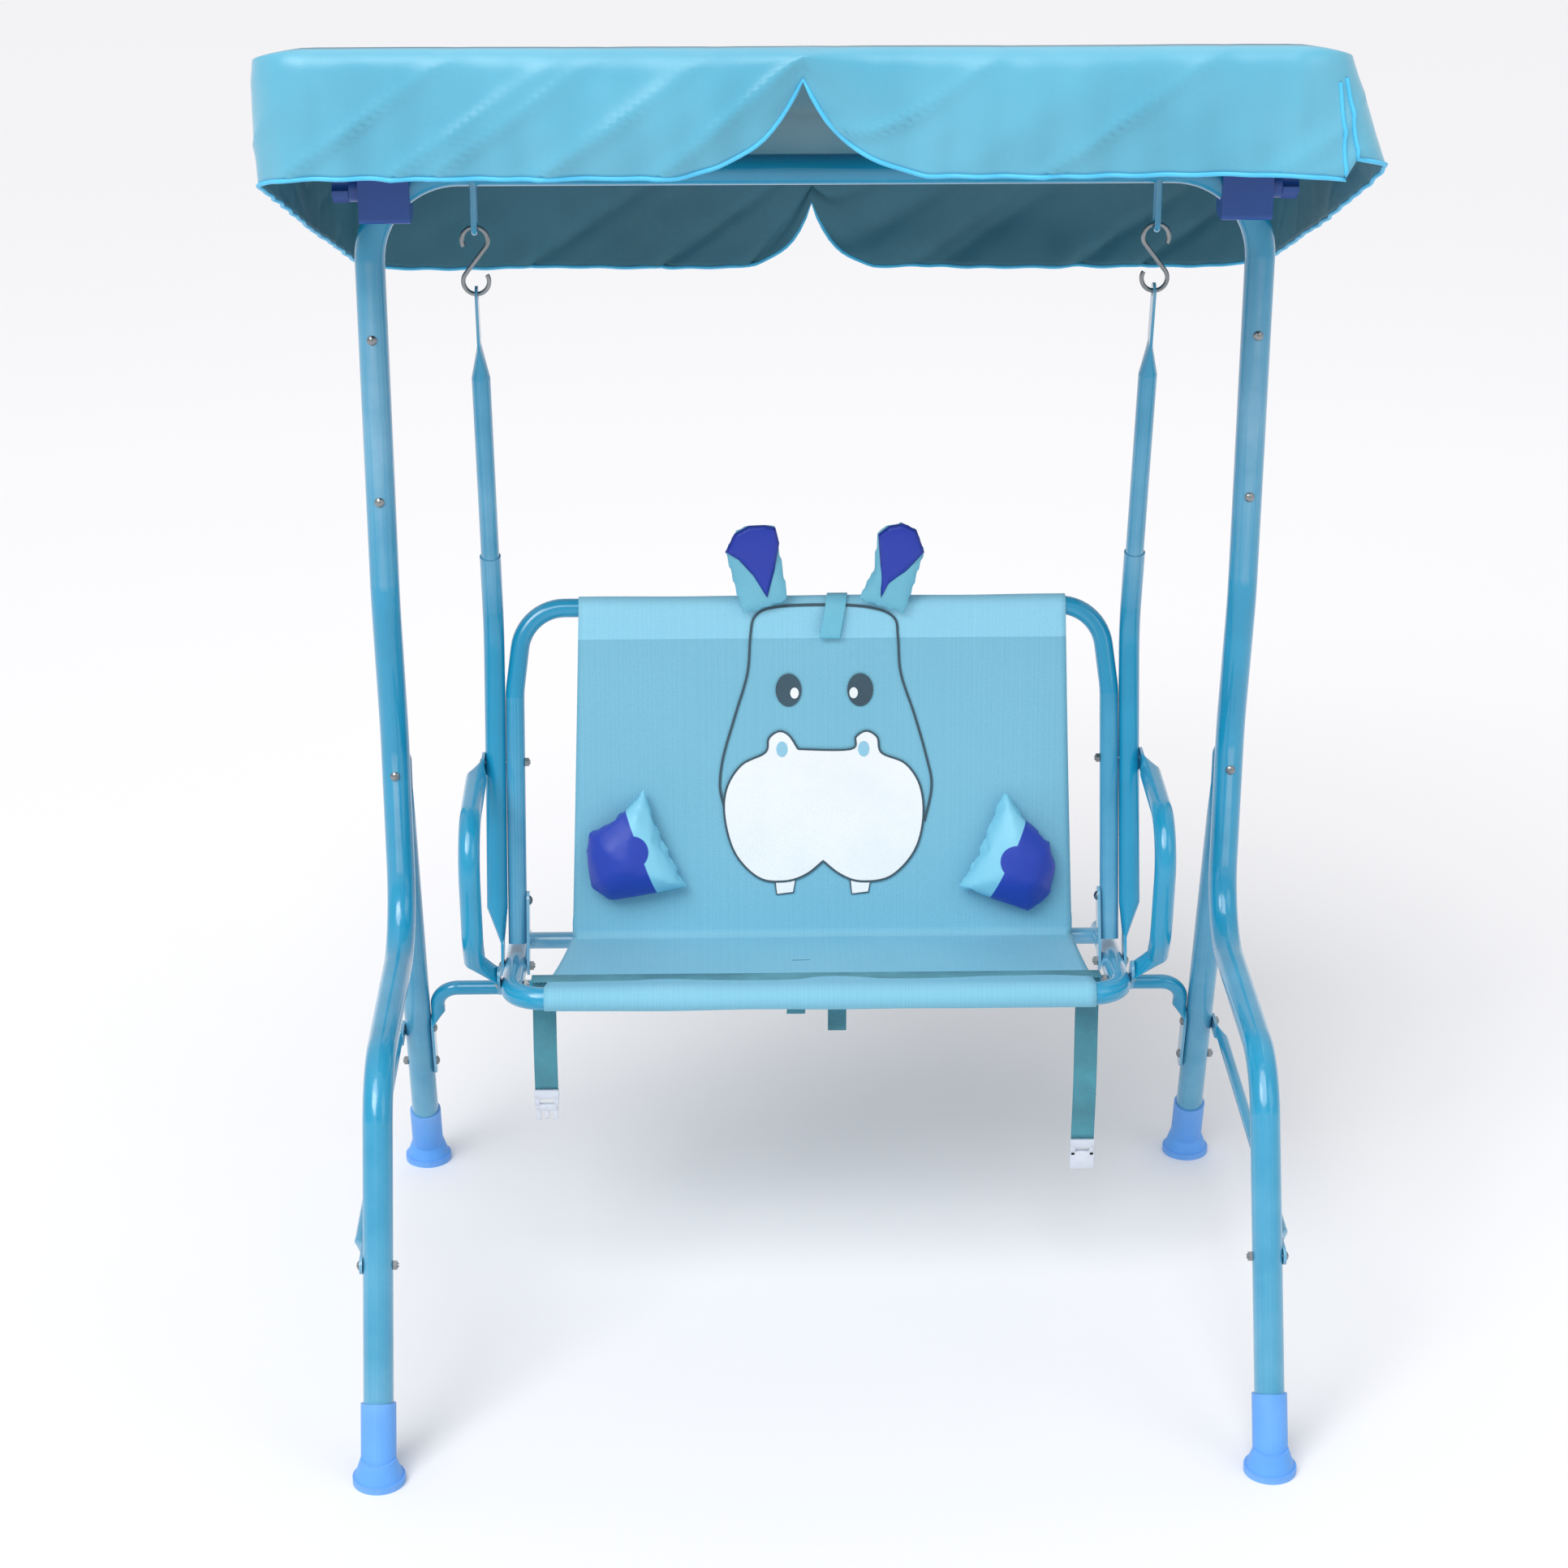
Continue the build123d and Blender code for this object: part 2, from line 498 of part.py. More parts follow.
upper_axis = (Vector(0, HANGER_KNEE[0], HANGER_KNEE[1]) - Vector(0, POST_Y, HOOK_LOW_Z)).normalized()
seat_bolts, armrest_bolts, link_screws = [], [], []
for side, sign in SIDES:
    x = sign * HOOK_X
    out = (1, 0, 0)
    hole_centre_z = HOOK_LOW_Z - (HOOK_HOLE / 2 - HOOK_WIRE / 2 - SLIP_CLEARANCE)
    start = Vector(x, POST_Y, hole_centre_z)
    flat_end = start + upper_axis * HANGER_FLAT_LENGTH
    round_start = flat_end + upper_axis * HANGER_PINCH
    step = start + upper_axis * ((hole_centre_z - HANGER_STEP_Z) / -upper_axis.Z)
    insert_end = step + upper_axis * HANGER_INSERT
    upper = straight_tube(round_start, insert_end, HANGER_UPPER_TUBE)
    upper += pinched_end(
        round_start, -upper_axis, flat_end, -upper_axis, HANGER_UPPER_TUBE, HANGER_UPPER_TUBE, out
    )
    upper += tongue(flat_end, start, HANGER_UPPER_TUBE, out)
    upper -= drill(start, out, HOOK_HOLE, reach=10)

    # Lower hanger arm, flat at its foot where it is bolted to the seat rail.
    foot = Vector(sign * (RAIL_OUTER_X + PLATE / 2), SEAT_BOLT_Y, seat_bolt_z)
    bolt_point = Vector(x, BACK_BOLT[0], BACK_BOLT[1])
    foot_flat_way = (Vector(x, foot.Y, foot.Z) - bolt_point).normalized()
    round_end = Vector(x, foot.Y, foot.Z) - foot_flat_way * (HANGER_FOOT_FLAT + HANGER_FOOT_PINCH)
    flat_start = foot - foot_flat_way * HANGER_FOOT_FLAT
    lower = bent_tube(
        [tuple(step), (x, *HANGER_KNEE), tuple(bolt_point), tuple(round_end)],
        HANGER_BENDS,
        HANGER_TUBE,
        wall=(HANGER_TUBE - HANGER_UPPER_TUBE) / 2 - SLIP_CLEARANCE,
    )
    lower += pinched_end(
        round_end, foot_flat_way, flat_start, foot_flat_way, HANGER_TUBE, HANGER_TUBE, out
    )
    lower += tongue(flat_start, foot, HANGER_TUBE, out)

    # Armrest: flat ends on the hanger arm and on the seat rail, round between them.
    top_flat = Vector(sign * (HOOK_X + HANGER_TUBE / 2 + PLATE / 2), *BACK_BOLT)
    forward = Vector(0, -1, ARMREST_SLOPE).normalized()
    top_flat_end = top_flat + forward * ARMREST_TOP_FLAT
    arm_x = sign * ARMREST_X
    arm_start = Vector(arm_x, top_flat.Y, top_flat.Z) + forward * (ARMREST_TOP_FLAT + ARMREST_PINCH)
    foot_flat = Vector(foot.X, ARMREST_FOOT_Y, rail_z(ARMREST_FOOT_Y))
    rise = Vector(0, -ARMREST_FOOT_LEAN, 1).normalized()
    foot_flat_end = foot_flat + rise * ARMREST_FOOT_FLAT
    arm_end = Vector(arm_x, foot_flat.Y, foot_flat.Z) + rise * (ARMREST_FOOT_FLAT + ARMREST_PINCH)
    front_top_z = arm_start.Z + (arm_start.Y - ARMREST_FRONT_Y) * ARMREST_SLOPE
    front_top = (arm_x, ARMREST_FRONT_Y, front_top_z)
    front_low = tuple(arm_end + rise * ARMREST_FOOT_RUN)
    armrest = bent_tube(
        [tuple(arm_start), front_top, front_low, tuple(arm_end)], ARMREST_BENDS, ARMREST_TUBE
    )
    armrest += pinched_end(
        arm_start, -forward, top_flat_end, -forward, ARMREST_TUBE, ARMREST_TUBE, out
    )
    armrest += tongue(top_flat_end, top_flat, ARMREST_TUBE, out)
    armrest += pinched_end(arm_end, -rise, foot_flat_end, -rise, ARMREST_TUBE, ARMREST_TUBE, out)
    armrest += tongue(foot_flat_end, foot_flat, ARMREST_TUBE, out)

    # Link plate: joins the back frame's open end to the seat rail.
    link_x = sign * (BACK_INNER_X - PLATE / 2)
    link_low = Vector(link_x, SEAT_BOLT_Y, seat_bolt_z)
    link_high_z = seat_bolt_z + LINK_RISE
    link_high = Vector(link_x, back_y(link_high_z), link_high_z)
    link = tongue(link_low, link_high, LINK_WIDTH, out)

    bore = BOLT + 2 * BOLT_CLEARANCE
    back_hole = drill((x, *BACK_BOLT), out, bore)
    seat_hole = drill((x, SEAT_BOLT_Y, seat_bolt_z), out, bore)
    link_hole = drill(link_high, out, bore, reach=LINK_SCREW)
    foot_hole = drill(foot_flat, out, bore)
    lower = lower - back_hole - seat_hole
    armrest = armrest - back_hole - foot_hole
    back_frame = back_frame - back_hole - link_hole
    seat_frame = seat_frame - seat_hole - foot_hole
    link = link - seat_hole - link_hole
    inward = (-sign, 0, 0)
    head_x = sign * (HOOK_X + HANGER_TUBE / 2 + PLATE)
    grip = HANGER_TUBE + BACK_TUBE + PLATE + SLIP_CLEARANCE
    armrest_bolts += bolt_and_nut((head_x, *BACK_BOLT), inward, grip)
    head_x = sign * (RAIL_OUTER_X + PLATE)
    seat_bolts += bolt_and_nut(
        (head_x, SEAT_BOLT_Y, seat_bolt_z), inward, RAIL_TUBE + 2 * PLATE
    )
    seat_bolts += bolt_and_nut(
        (head_x, foot_flat.Y, foot_flat.Z), inward, RAIL_TUBE + PLATE
    )
    link_seat = (sign * (BACK_INNER_X - PLATE), link_high.Y, link_high.Z)
    link_screws.append(bolt_and_nut(link_seat, (sign, 0, 0), LINK_SCREW - NUT_HEIGHT - PLATE)[0])

    parts[f"{side}_hanger_upper_arm"] = upper
    parts[f"{side}_hanger_lower_arm"] = lower
    parts[f"{side}_armrest"] = armrest
    parts[f"{side}_link_plate"] = link

parts["seat_frame"] = seat_frame
parts["seat_rear_tube"] = rear_tube
parts["back_frame"] = back_frame
parts["armrest_bolts"] = Compound(children=armrest_bolts)
parts["seat_bolts"] = Compound(children=seat_bolts)
parts["link_screws"] = Compound(children=link_screws)

# ---------------------------------------------------------------- soft parts of the seat


def unit(a, b):
    length = hypot(b[0] - a[0], b[1] - a[1])
    return (b[0] - a[0]) / length, (b[1] - a[1]) / length


def strip(start, end, half_width, thickness):
    """A flat strip across the seat, from start to end in the Y-Z plane."""
    way = Vector(0, end[0] - start[0], end[1] - start[1])
    middle = Vector(0, (start[0] + end[0]) / 2, (start[1] + end[1]) / 2)
    place = Plane(origin=middle, x_dir=(1, 0, 0), z_dir=way.cross(Vector(1, 0, 0)))
    return extrude(place * Rectangle(2 * half_width, way.length), amount=thickness / 2, both=True)


def across_rod(point, radius, half_width):
    return straight_rod((-half_width, *point), (half_width, *point), 2 * radius)


sleeve_gap = SOFT_CLEARANCE + SLING_THICKNESS / 2
top_yz = (top.Y, top.Z)
back_line = unit(CREASE, top_yz)
top_radius = BACK_TUBE / 2 + sleeve_gap
back_start = (top_yz[0] - back_line[1] * top_radius, top_yz[1] + back_line[0] * top_radius)
seat_line = unit(SEAT_FRONT, CREASE)
front_radius = RAIL_TUBE / 2 + sleeve_gap
seat_start = (SEAT_FRONT[0] - seat_line[1] * front_radius, SEAT_FRONT[1] + seat_line[0] * front_radius)
widest = SLING_HALF_FRONT
sling = strip(back_start, CREASE, widest, SLING_THICKNESS) + strip(
    seat_start, CREASE, widest, SLING_THICKNESS
)
sling += across_rod(CREASE, SLING_THICKNESS / 2, widest)
sling += across_rod(top_yz, top_radius + SLING_THICKNESS / 2, widest)
sling += across_rod(SEAT_FRONT, front_radius + SLING_THICKNESS / 2, widest)
sling -= across_rod(top_yz, top_radius - SLING_THICKNESS / 2, widest + 1)
sling -= across_rod(SEAT_FRONT, front_radius - SLING_THICKNESS / 2, widest + 1)
# Seen from above the sling is widest at the front and narrows to the crease, then to the top.
front_end = SEAT_FRONT[0] - front_radius - SLING_THICKNESS
back_end = top_yz[0] + top_radius + SLING_THICKNESS
outline = Polyline(
    (-SLING_HALF_FRONT, front_end),
    (-SLING_HALF_CREASE, CREASE[0]),
    (-SLING_HALF_TOP, back_end),
    (SLING_HALF_TOP, back_end),
    (SLING_HALF_CREASE, CREASE[0]),
    (SLING_HALF_FRONT, front_end),
    close=True,
)
sling = sling & extrude(make_face(outline), amount=2 * ARCH_Z)
parts["sling"] = sling

# Paws: stuffed corners sewn to the front of the back rest.
rest_line = unit(CREASE, back_start)
rest_front = Vector(0, -rest_line[1], rest_line[0])
rest_middle = Vector(0, (back_start[0] + CREASE[0]) / 2, (back_start[1] + CREASE[1]) / 2)
paw_origin = rest_middle + rest_front * (SLING_THICKNESS / 2 + SOFT_CLEARANCE)
paw_place = Plane(origin=paw_origin, x_dir=(1, 0, 0), z_dir=rest_front)
for side, sign in SIDES:
    corners = [
        (sign * (PAW_X + 12), PAW_HEIGHT / 2),
        (sign * (PAW_X - PAW_WIDTH / 2), -PAW_HEIGHT * 0.36),
        (sign * (PAW_X + 14), -PAW_HEIGHT / 2),
        (sign * (PAW_X + PAW_WIDTH / 2), 0),
    ]
    outline = Pos(0, PAW_ALONG) * make_face(Polyline(*corners[::sign], close=True))
    parts[f"{side}_paw"] = extrude(paw_place * outline, amount=PAW_DEPTH, taper=22)
    ear_middle = top.Z + top_radius + SLING_THICKNESS / 2 + SOFT_CLEARANCE + EAR_HEIGHT / 2
    ear = Box(EAR_WIDTH, EAR_DEPTH, EAR_HEIGHT)
    ear = fillet(ear.edges().filter_by(Axis.Y), EAR_WIDTH / 4)
    parts[f"{side}_ear"] = Pos(sign * EAR_CENTRE + PRINT_OFFSET, top.Y, ear_middle) * ear

back_length = hypot(back_start[0] - CREASE[0], back_start[1] - CREASE[1])
lock = Pos(LOCK_X, back_length / 2 - LOCK_BELOW_TOP) * RectangleRounded(LOCK_WIDTH, LOCK_LENGTH, 4)
parts["forelock"] = extrude(paw_place * lock, amount=LOCK_DEPTH)


def sling_under(y):
    """Height of the sling's underside at y, in the seat."""
    share = (y - seat_start[0]) / (CREASE[0] - seat_start[0])
    middle = seat_start[1] + share * (CREASE[1] - seat_start[1])
    return middle - SLING_THICKNESS / 2 / seat_line[0]


# Webbing: a strap across under the sling, the two lap belts and the two ends at the middle.


def hung(y, z):
    """Where a point of the seat's own layout is once the seat has turned about the hooks."""
    turn, dy, dz = radians(SEAT_TURN), y - POST_Y, z - HOOK_LOW_Z
    return POST_Y + dy * cos(turn) - dz * sin(turn), HOOK_LOW_Z + dy * sin(turn) + dz * cos(turn)


strap_drop = SOFT_CLEARANCE + WEBBING_THICKNESS / 2
strap_ends = [
    (y, sling_under(y) - strap_drop) for y in (BELT_Y - WEBBING / 2, BELT_Y + WEBBING / 2)
]
parts["under_seat_strap"] = strip(*strap_ends, BELT_X + WEBBING / 2, WEBBING_THICKNESS)
belt_y, belt_top = hung(BELT_Y, sling_under(BELT_Y) - 2 * strap_drop - SOFT_CLEARANCE)
for side, sign, end_z in (("left", -1, LEFT_BELT_END_Z), ("right", 1, RIGHT_BELT_END_Z)):
    buckle_top = end_z + BUCKLE_LENGTH
    height = belt_top - buckle_top - SOFT_CLEARANCE
    parts[f"{side}_belt"] = Pos(sign * BELT_X, belt_y, belt_top - height / 2) * Box(
        WEBBING, WEBBING_THICKNESS, height
    )
    buckle = Pos(sign * BELT_X, belt_y, end_z + BUCKLE_LENGTH / 2) * Box(
        BUCKLE_WIDTH, BUCKLE_THICKNESS, BUCKLE_LENGTH
    )
    parts[f"{side}_buckle"] = fillet(buckle.edges().filter_by(Axis.Y), 4.0)

tab_y, tab_top = hung(TAB_Y, sling_under(TAB_Y) - TAB_GAP)
tabs = []
for x, length in TABS:
    tabs.append(Pos(x, tab_y, tab_top - length / 2) * Box(TAB_WIDTH, WEBBING_THICKNESS, length))
parts["crotch_strap_ends"] = Compound(children=tabs)

# The whole seat turns about the hooks; its belts and strap ends are placed above, and hang plumb.
hook_axis = Axis((0, POST_Y, HOOK_LOW_Z), (1, 0, 0))
turned_names = ["seat_frame", "seat_rear_tube", "back_frame", "armrest_bolts", "seat_bolts"]
turned_names += ["link_screws", "sling", "forelock", "under_seat_strap"]
for side, sign in SIDES:
    turned_names += [f"{side}_hanger_upper_arm", f"{side}_hanger_lower_arm", f"{side}_armrest"]
    turned_names += [f"{side}_link_plate", f"{side}_paw", f"{side}_ear"]
for name in turned_names:
    solids = [solid.rotate(hook_axis, SEAT_TURN) for solid in parts[name].solids()]
    parts[name] = solids[0] if len(solids) == 1 else Compound(children=solids)

# ---------------------------------------------------------------- canopy

tilt = radians(CANOPY_TILT)
pivot = Vector(0, POST_Y, PIVOT_Z)


def on_canopy(x, along, up):
    """A point in the canopy's own tilted plane: along it towards the rear, and up from the pivot."""
    return pivot + Vector(x, along * cos(tilt) + up * sin(tilt), up * cos(tilt) - along * sin(tilt))


# The valances hang plumb, so the front one leans in under the tilted frame and the rear one out.
hoop_inset = (COVER_THICKNESS + SOFT_CLEARANCE + CANOPY_TUBE / 2) / cos(tilt)
valance_lean = (CANOPY_RISE - HOOP_UP) * tan(tilt)
hoop_front = hoop_inset + valance_lean - CANOPY_FRONT
hoop_rear = CANOPY_REAR - hoop_inset + valance_lean
for name, start, far in (("front", -HOOP_GAP / 2, hoop_front), ("rear", HOOP_GAP / 2, hoop_rear)):
    points = [
        tuple(on_canopy(x, along, HOOP_UP))
        for x, along in ((-HOOP_X, start), (-HOOP_X, far), (HOOP_X, far), (HOOP_X, start))
    ]
    parts[f"canopy_{name}_hoop"] = bent_tube(points, [CANOPY_CORNER, CANOPY_CORNER], CANOPY_TUBE)

for side, sign in SIDES:
    inner, outer = EAR_X, HOOP_X + SOCKET_SIZE / 2
    tilted = Plane(origin=on_canopy(0, 0, 0), x_dir=(1, 0, 0), z_dir=on_canopy(0, 0, 1) - pivot)
    block = tilted * Pos(sign * (inner + outer) / 2, 0, HOOP_UP) * Box(
        outer - inner, SOCKET_LENGTH, SOCKET_SIZE
    )
    ear_end = on_canopy(sign * (EAR_X + EAR_THICKNESS / 2), 0, 0)
    ear_root = on_canopy(sign * (EAR_X + EAR_THICKNESS / 2), 0, HOOP_UP - SOCKET_SIZE / 2)
    socket = block + tongue(ear_end, ear_root, 2 * EAR_RADIUS, (1, 0, 0), thickness=EAR_THICKNESS)
    bore_start = on_canopy(sign * HOOP_X, -SOCKET_LENGTH, HOOP_UP)
    bore_end = on_canopy(sign * HOOP_X, SOCKET_LENGTH, HOOP_UP)
    socket -= straight_rod(bore_start, bore_end, CANOPY_TUBE + 2 * SLIP_CLEARANCE)
    socket -= drill(ear_end, (1, 0, 0), STUD + 2 * PIVOT_CLEARANCE, reach=EAR_THICKNESS)
    parts[f"{side}_canopy_socket"] = socket

    knob_x = sign * (KNOB_X + KNOB_LENGTH / 2)
    turned = Rotation(0, 90, 0)
    knob = turned * Cylinder(KNOB_DIAMETER / 2, KNOB_LENGTH)
    for turn in range(5):
        angle = radians(72 * turn)
        groove_y, groove_z = KNOB_DIAMETER * 0.62 * sin(angle), KNOB_DIAMETER * 0.62 * cos(angle)
        knob -= Pos(0, groove_y, groove_z) * turned * Cylinder(KNOB_DIAMETER * 0.24, KNOB_LENGTH)
    knob = Pos(knob_x, POST_Y, PIVOT_Z) * knob
    bore_low = (sign * (KNOB_X - 1), POST_Y, PIVOT_Z)
    bore_high = (sign * (KNOB_X + KNOB_LENGTH - 3 + SIDE_CLEARANCE), POST_Y, PIVOT_Z)
    parts[f"{side}_tilt_knob"] = knob - straight_rod(bore_low, bore_high, STUD + 2 * PIVOT_CLEARANCE)


def notch(height, half_width):
    """The bell-shaped gap at the middle of a valance, as a face standing on its hem."""
    right = Bezier((0, height), (half_width * 0.12, height * 0.35), (half_width * 0.42, 0), (half_width, 0))
    base = Polyline((half_width, 0), (half_width, -10), (0, -10), (0, height))
    half_face = make_face(Curve() + [right, base])
    return half_face + mirror(half_face, about=Plane.YZ)


def cover_prism(inset, below):
    """The cover's outer shape, moved in by inset and open or closed below."""
    front_top = on_canopy(0, -CANOPY_FRONT, CANOPY_RISE)
    rear_top = on_canopy(0, CANOPY_REAR, CANOPY_RISE)
    slope = (front_top.Z - rear_top.Z) / (rear_top.Y - front_top.Y)
    drop = inset / cos(tilt)
    outline = Polyline(
        (front_top.Y + inset, front_top.Z - drop - inset * slope),
        (rear_top.Y - inset, rear_top.Z - drop + inset * slope),
        (rear_top.Y - inset, rear_top.Z - VALANCE - below),
        (front_top.Y + inset, front_top.Z - VALANCE - below),
        close=True,
    )
    side_view = Plane(origin=(0, 0, 0), x_dir=(0, 1, 0), z_dir=(1, 0, 0))
    prism = extrude(side_view * make_face(outline), amount=COVER_X - inset, both=True)
    return fillet(prism.edges().filter_by(Axis.Z), CANOPY_CORNER + CANOPY_TUBE / 2 - inset)


cover = cover_prism(0.0, 0.0) - cover_prism(COVER_THICKNESS, 40.0)
for along, (height, half_width) in ((-CANOPY_FRONT, FRONT_NOTCH), (CANOPY_REAR, REAR_NOTCH)):
    edge = on_canopy(0, along, CANOPY_RISE)
    place = Plane(origin=(0, edge.Y, edge.Z - VALANCE), x_dir=(1, 0, 0), z_dir=(0, -1, 0))
    cover -= extrude(place * notch(height, half_width), amount=20, both=True)
parts["canopy_cover"] = cover

# ---------------------------------------------------------------- write

lows = [shape.bounding_box().min.Y for shape in parts.values()]
highs = [shape.bounding_box().max.Y for shape in parts.values()]
to_middle = Pos(0, -(min(lows) + max(highs)) / 2, 0)
print("moved along Y by", -(min(lows) + max(highs)) / 2)
os.makedirs("parts", exist_ok=True)
for name, shape in parts.items():
    moved = to_middle * shape
    print(name, len(moved.solids()), round(moved.volume))
    export_step(moved, f"parts/{name}.step")
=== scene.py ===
"""A child's canopy swing: the looks of its painted tubes, moulded parts and soft goods."""

import json
import math

import bmesh
import bpy
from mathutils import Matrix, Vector, noise


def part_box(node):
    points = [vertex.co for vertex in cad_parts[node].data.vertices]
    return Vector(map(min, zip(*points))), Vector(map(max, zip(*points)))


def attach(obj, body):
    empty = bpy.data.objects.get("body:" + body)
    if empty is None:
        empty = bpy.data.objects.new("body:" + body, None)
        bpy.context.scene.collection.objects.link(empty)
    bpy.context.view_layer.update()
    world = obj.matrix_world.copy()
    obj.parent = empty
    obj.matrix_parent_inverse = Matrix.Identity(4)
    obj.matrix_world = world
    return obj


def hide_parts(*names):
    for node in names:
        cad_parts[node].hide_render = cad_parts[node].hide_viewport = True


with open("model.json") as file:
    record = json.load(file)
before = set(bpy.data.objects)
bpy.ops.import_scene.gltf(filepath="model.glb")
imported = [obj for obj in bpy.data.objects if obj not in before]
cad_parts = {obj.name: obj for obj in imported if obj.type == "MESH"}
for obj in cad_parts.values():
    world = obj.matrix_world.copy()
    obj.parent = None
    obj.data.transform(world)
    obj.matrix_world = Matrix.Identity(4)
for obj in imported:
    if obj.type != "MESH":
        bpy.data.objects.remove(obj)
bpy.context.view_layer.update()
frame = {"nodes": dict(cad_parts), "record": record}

bl_info = {
    "name": "Canopy Swing",
    "version": (1, 0, 0),
    "blender": (4, 5, 0),
    "location": "3D View > Sidebar > Canopy Swing",
    "description": "Builds the soft goods, finishes and studio of a child's canopy swing",
    "category": "Object",
}

# Sling profile, in metres: where its two sleeves and its crease are
FRONT_TUBE = Vector((0.0, -0.0937, 0.3680))
TOP_TUBE = Vector((0.0, 0.1421, 0.7116))
CREASE = Vector((0.0, 0.0743, 0.3598))
FRONT_SLEEVE = 0.0137
TOP_SLEEVE = 0.0117
SLING_EDGES = ((-0.282, 0.288), (-0.2586, 0.280), (-0.2465, 0.268))
SLEEVE_STITCH = 0.3255
BACK_WAY = (TOP_TUBE - CREASE).normalized()
BACK_FRONT = Vector((0.0, -BACK_WAY.z, BACK_WAY.y))

# Canopy, in metres
COVER_X = 0.483
COVER_FRONT = (-0.2666, 1.3754)
COVER_REAR = (0.4429, 1.1171)
COVER_CORNER = 0.056
# Half width of each notch in the valance, and its share of the valance
FRONT_NOTCH = (0.112, 0.76)
REAR_NOTCH = (0.070, 0.62)
SHOULDER_TURN = 0.016  # how far the front and rear rims turn in


# ---------------------------------------------------------------- shader helpers


def linear(code):
    """A hex sRGB colour as linear RGBA."""
    values = [int(code[i : i + 2], 16) / 255 for i in (0, 2, 4)]
    return tuple(v / 12.92 if v <= 0.04045 else ((v + 0.055) / 1.055) ** 2.4 for v in values) + (1.0,)


def node(tree, kind, inputs=None, **settings):
    """Adds a node; an input is a socket to link or a value to set."""
    made = tree.nodes.new(kind)
    for key, value in settings.items():
        setattr(made, key, value)
    for key, value in (inputs or {}).items():
        if isinstance(value, bpy.types.NodeSocket):
            tree.links.new(value, made.inputs[key])
        else:
            made.inputs[key].default_value = value
    return made


def group(name, inputs, outputs):
    """An empty node group with float inputs and outputs; returns it, its input node and its output node."""
    tree = bpy.data.node_groups.new(name, "ShaderNodeTree")
    for label, value in inputs:
        socket = tree.interface.new_socket(label, in_out="INPUT", socket_type="NodeSocketFloat")
        socket.default_value = value
    for label in outputs:
        tree.interface.new_socket(label, in_out="OUTPUT", socket_type="NodeSocketFloat")
    return tree, tree.nodes.new("NodeGroupInput"), tree.nodes.new("NodeGroupOutput")


def weave_group():
    """Crossing threads in object space: their height, and which threads run lengthways."""
    if "Swing Weave" in bpy.data.node_groups:
        return bpy.data.node_groups["Swing Weave"]
    tree, start, end = group("Swing Weave", [("Threads", 900.0), ("Lines", 120.0)], ["Height", "Lines"])
    where = node(tree, "ShaderNodeTexCoord").outputs["Object"]
    parts = node(tree, "ShaderNodeSeparateXYZ", {"Vector": where})
    along = node(tree, "ShaderNodeMath", {0: parts.outputs["Y"], 1: parts.outputs["Z"]}, operation="ADD")
    waves = []
    for source in (parts.outputs["X"], along.outputs[0]):
        scaled = node(tree, "ShaderNodeMath", {0: source, 1: start.outputs["Threads"]}, operation="MULTIPLY")
        waves.append(node(tree, "ShaderNodeMath", {0: scaled.outputs[0]}, operation="SINE"))
    crossed = {0: waves[0].outputs[0], 1: waves[1].outputs[0]}
    both = node(tree, "ShaderNodeMath", crossed, operation="MULTIPLY")
    tree.links.new(both.outputs[0], end.inputs["Height"])
    spread = node(
        tree, "ShaderNodeMath", {0: parts.outputs["X"], 1: start.outputs["Lines"]}, operation="MULTIPLY"
    )
    strip = node(tree, "ShaderNodeCombineXYZ", {"X": spread.outputs[0]})
    lines = node(tree, "ShaderNodeTexNoise", {"Vector": strip.outputs[0], "Scale": 5.0, "Detail": 3.0})
    tree.links.new(lines.outputs["Fac"], end.inputs["Lines"])
    return tree


def wear_group():
    """Worn edges, settled dust and fine unevenness, each as a mask from 0 to 1."""
    if "Swing Wear" in bpy.data.node_groups:
        return bpy.data.node_groups["Swing Wear"]
    tree, start, end = group("Swing Wear", [("Scale", 18.0)], ["Edges", "Dust", "Mottle", "Fine"])
    where = node(tree, "ShaderNodeTexCoord").outputs["Object"]
    geometry = node(tree, "ShaderNodeNewGeometry")
    mottle = node(
        tree, "ShaderNodeTexNoise", {"Vector": where, "Scale": start.outputs["Scale"], "Detail": 5.0}
    )
    tree.links.new(mottle.outputs["Fac"], end.inputs["Mottle"])
    fine = node(tree, "ShaderNodeTexNoise", {"Vector": where, "Scale": 700.0, "Detail": 2.0})
    tree.links.new(fine.outputs["Fac"], end.inputs["Fine"])
    sharp = node(
        tree,
        "ShaderNodeMapRange",
        {"Value": geometry.outputs["Pointiness"], "From Min": 0.53, "From Max": 0.62},
    )
    broken = {0: sharp.outputs[0], 1: mottle.outputs["Fac"]}
    edges = node(tree, "ShaderNodeMath", broken, operation="MULTIPLY")
    tree.links.new(edges.outputs[0], end.inputs["Edges"])
    facing = node(tree, "ShaderNodeSeparateXYZ", {"Vector": geometry.outputs["Normal"]})
    up = node(
        tree, "ShaderNodeMapRange", {"Value": facing.outputs["Z"], "From Min": 0.6, "From Max": 1.0}
    )
    dust = node(tree, "ShaderNodeMath", {0: up.outputs[0], 1: mottle.outputs["Fac"]}, operation="MULTIPLY")
    tree.links.new(dust.outputs[0], end.inputs["Dust"])
    return tree


def mixed(tree, factor, first, second, blend="MIX"):
    """A colour mix; each of its three inputs is a socket or a value."""
    made = tree.nodes.new("ShaderNodeMix")
    made.data_type, made.blend_type = "RGBA", blend
    for index, value in ((0, factor), (6, first), (7, second)):
        if isinstance(value, bpy.types.NodeSocket):
            tree.links.new(value, made.inputs[index])
        else:
            made.inputs[index].default_value = value
    return made.outputs[2]


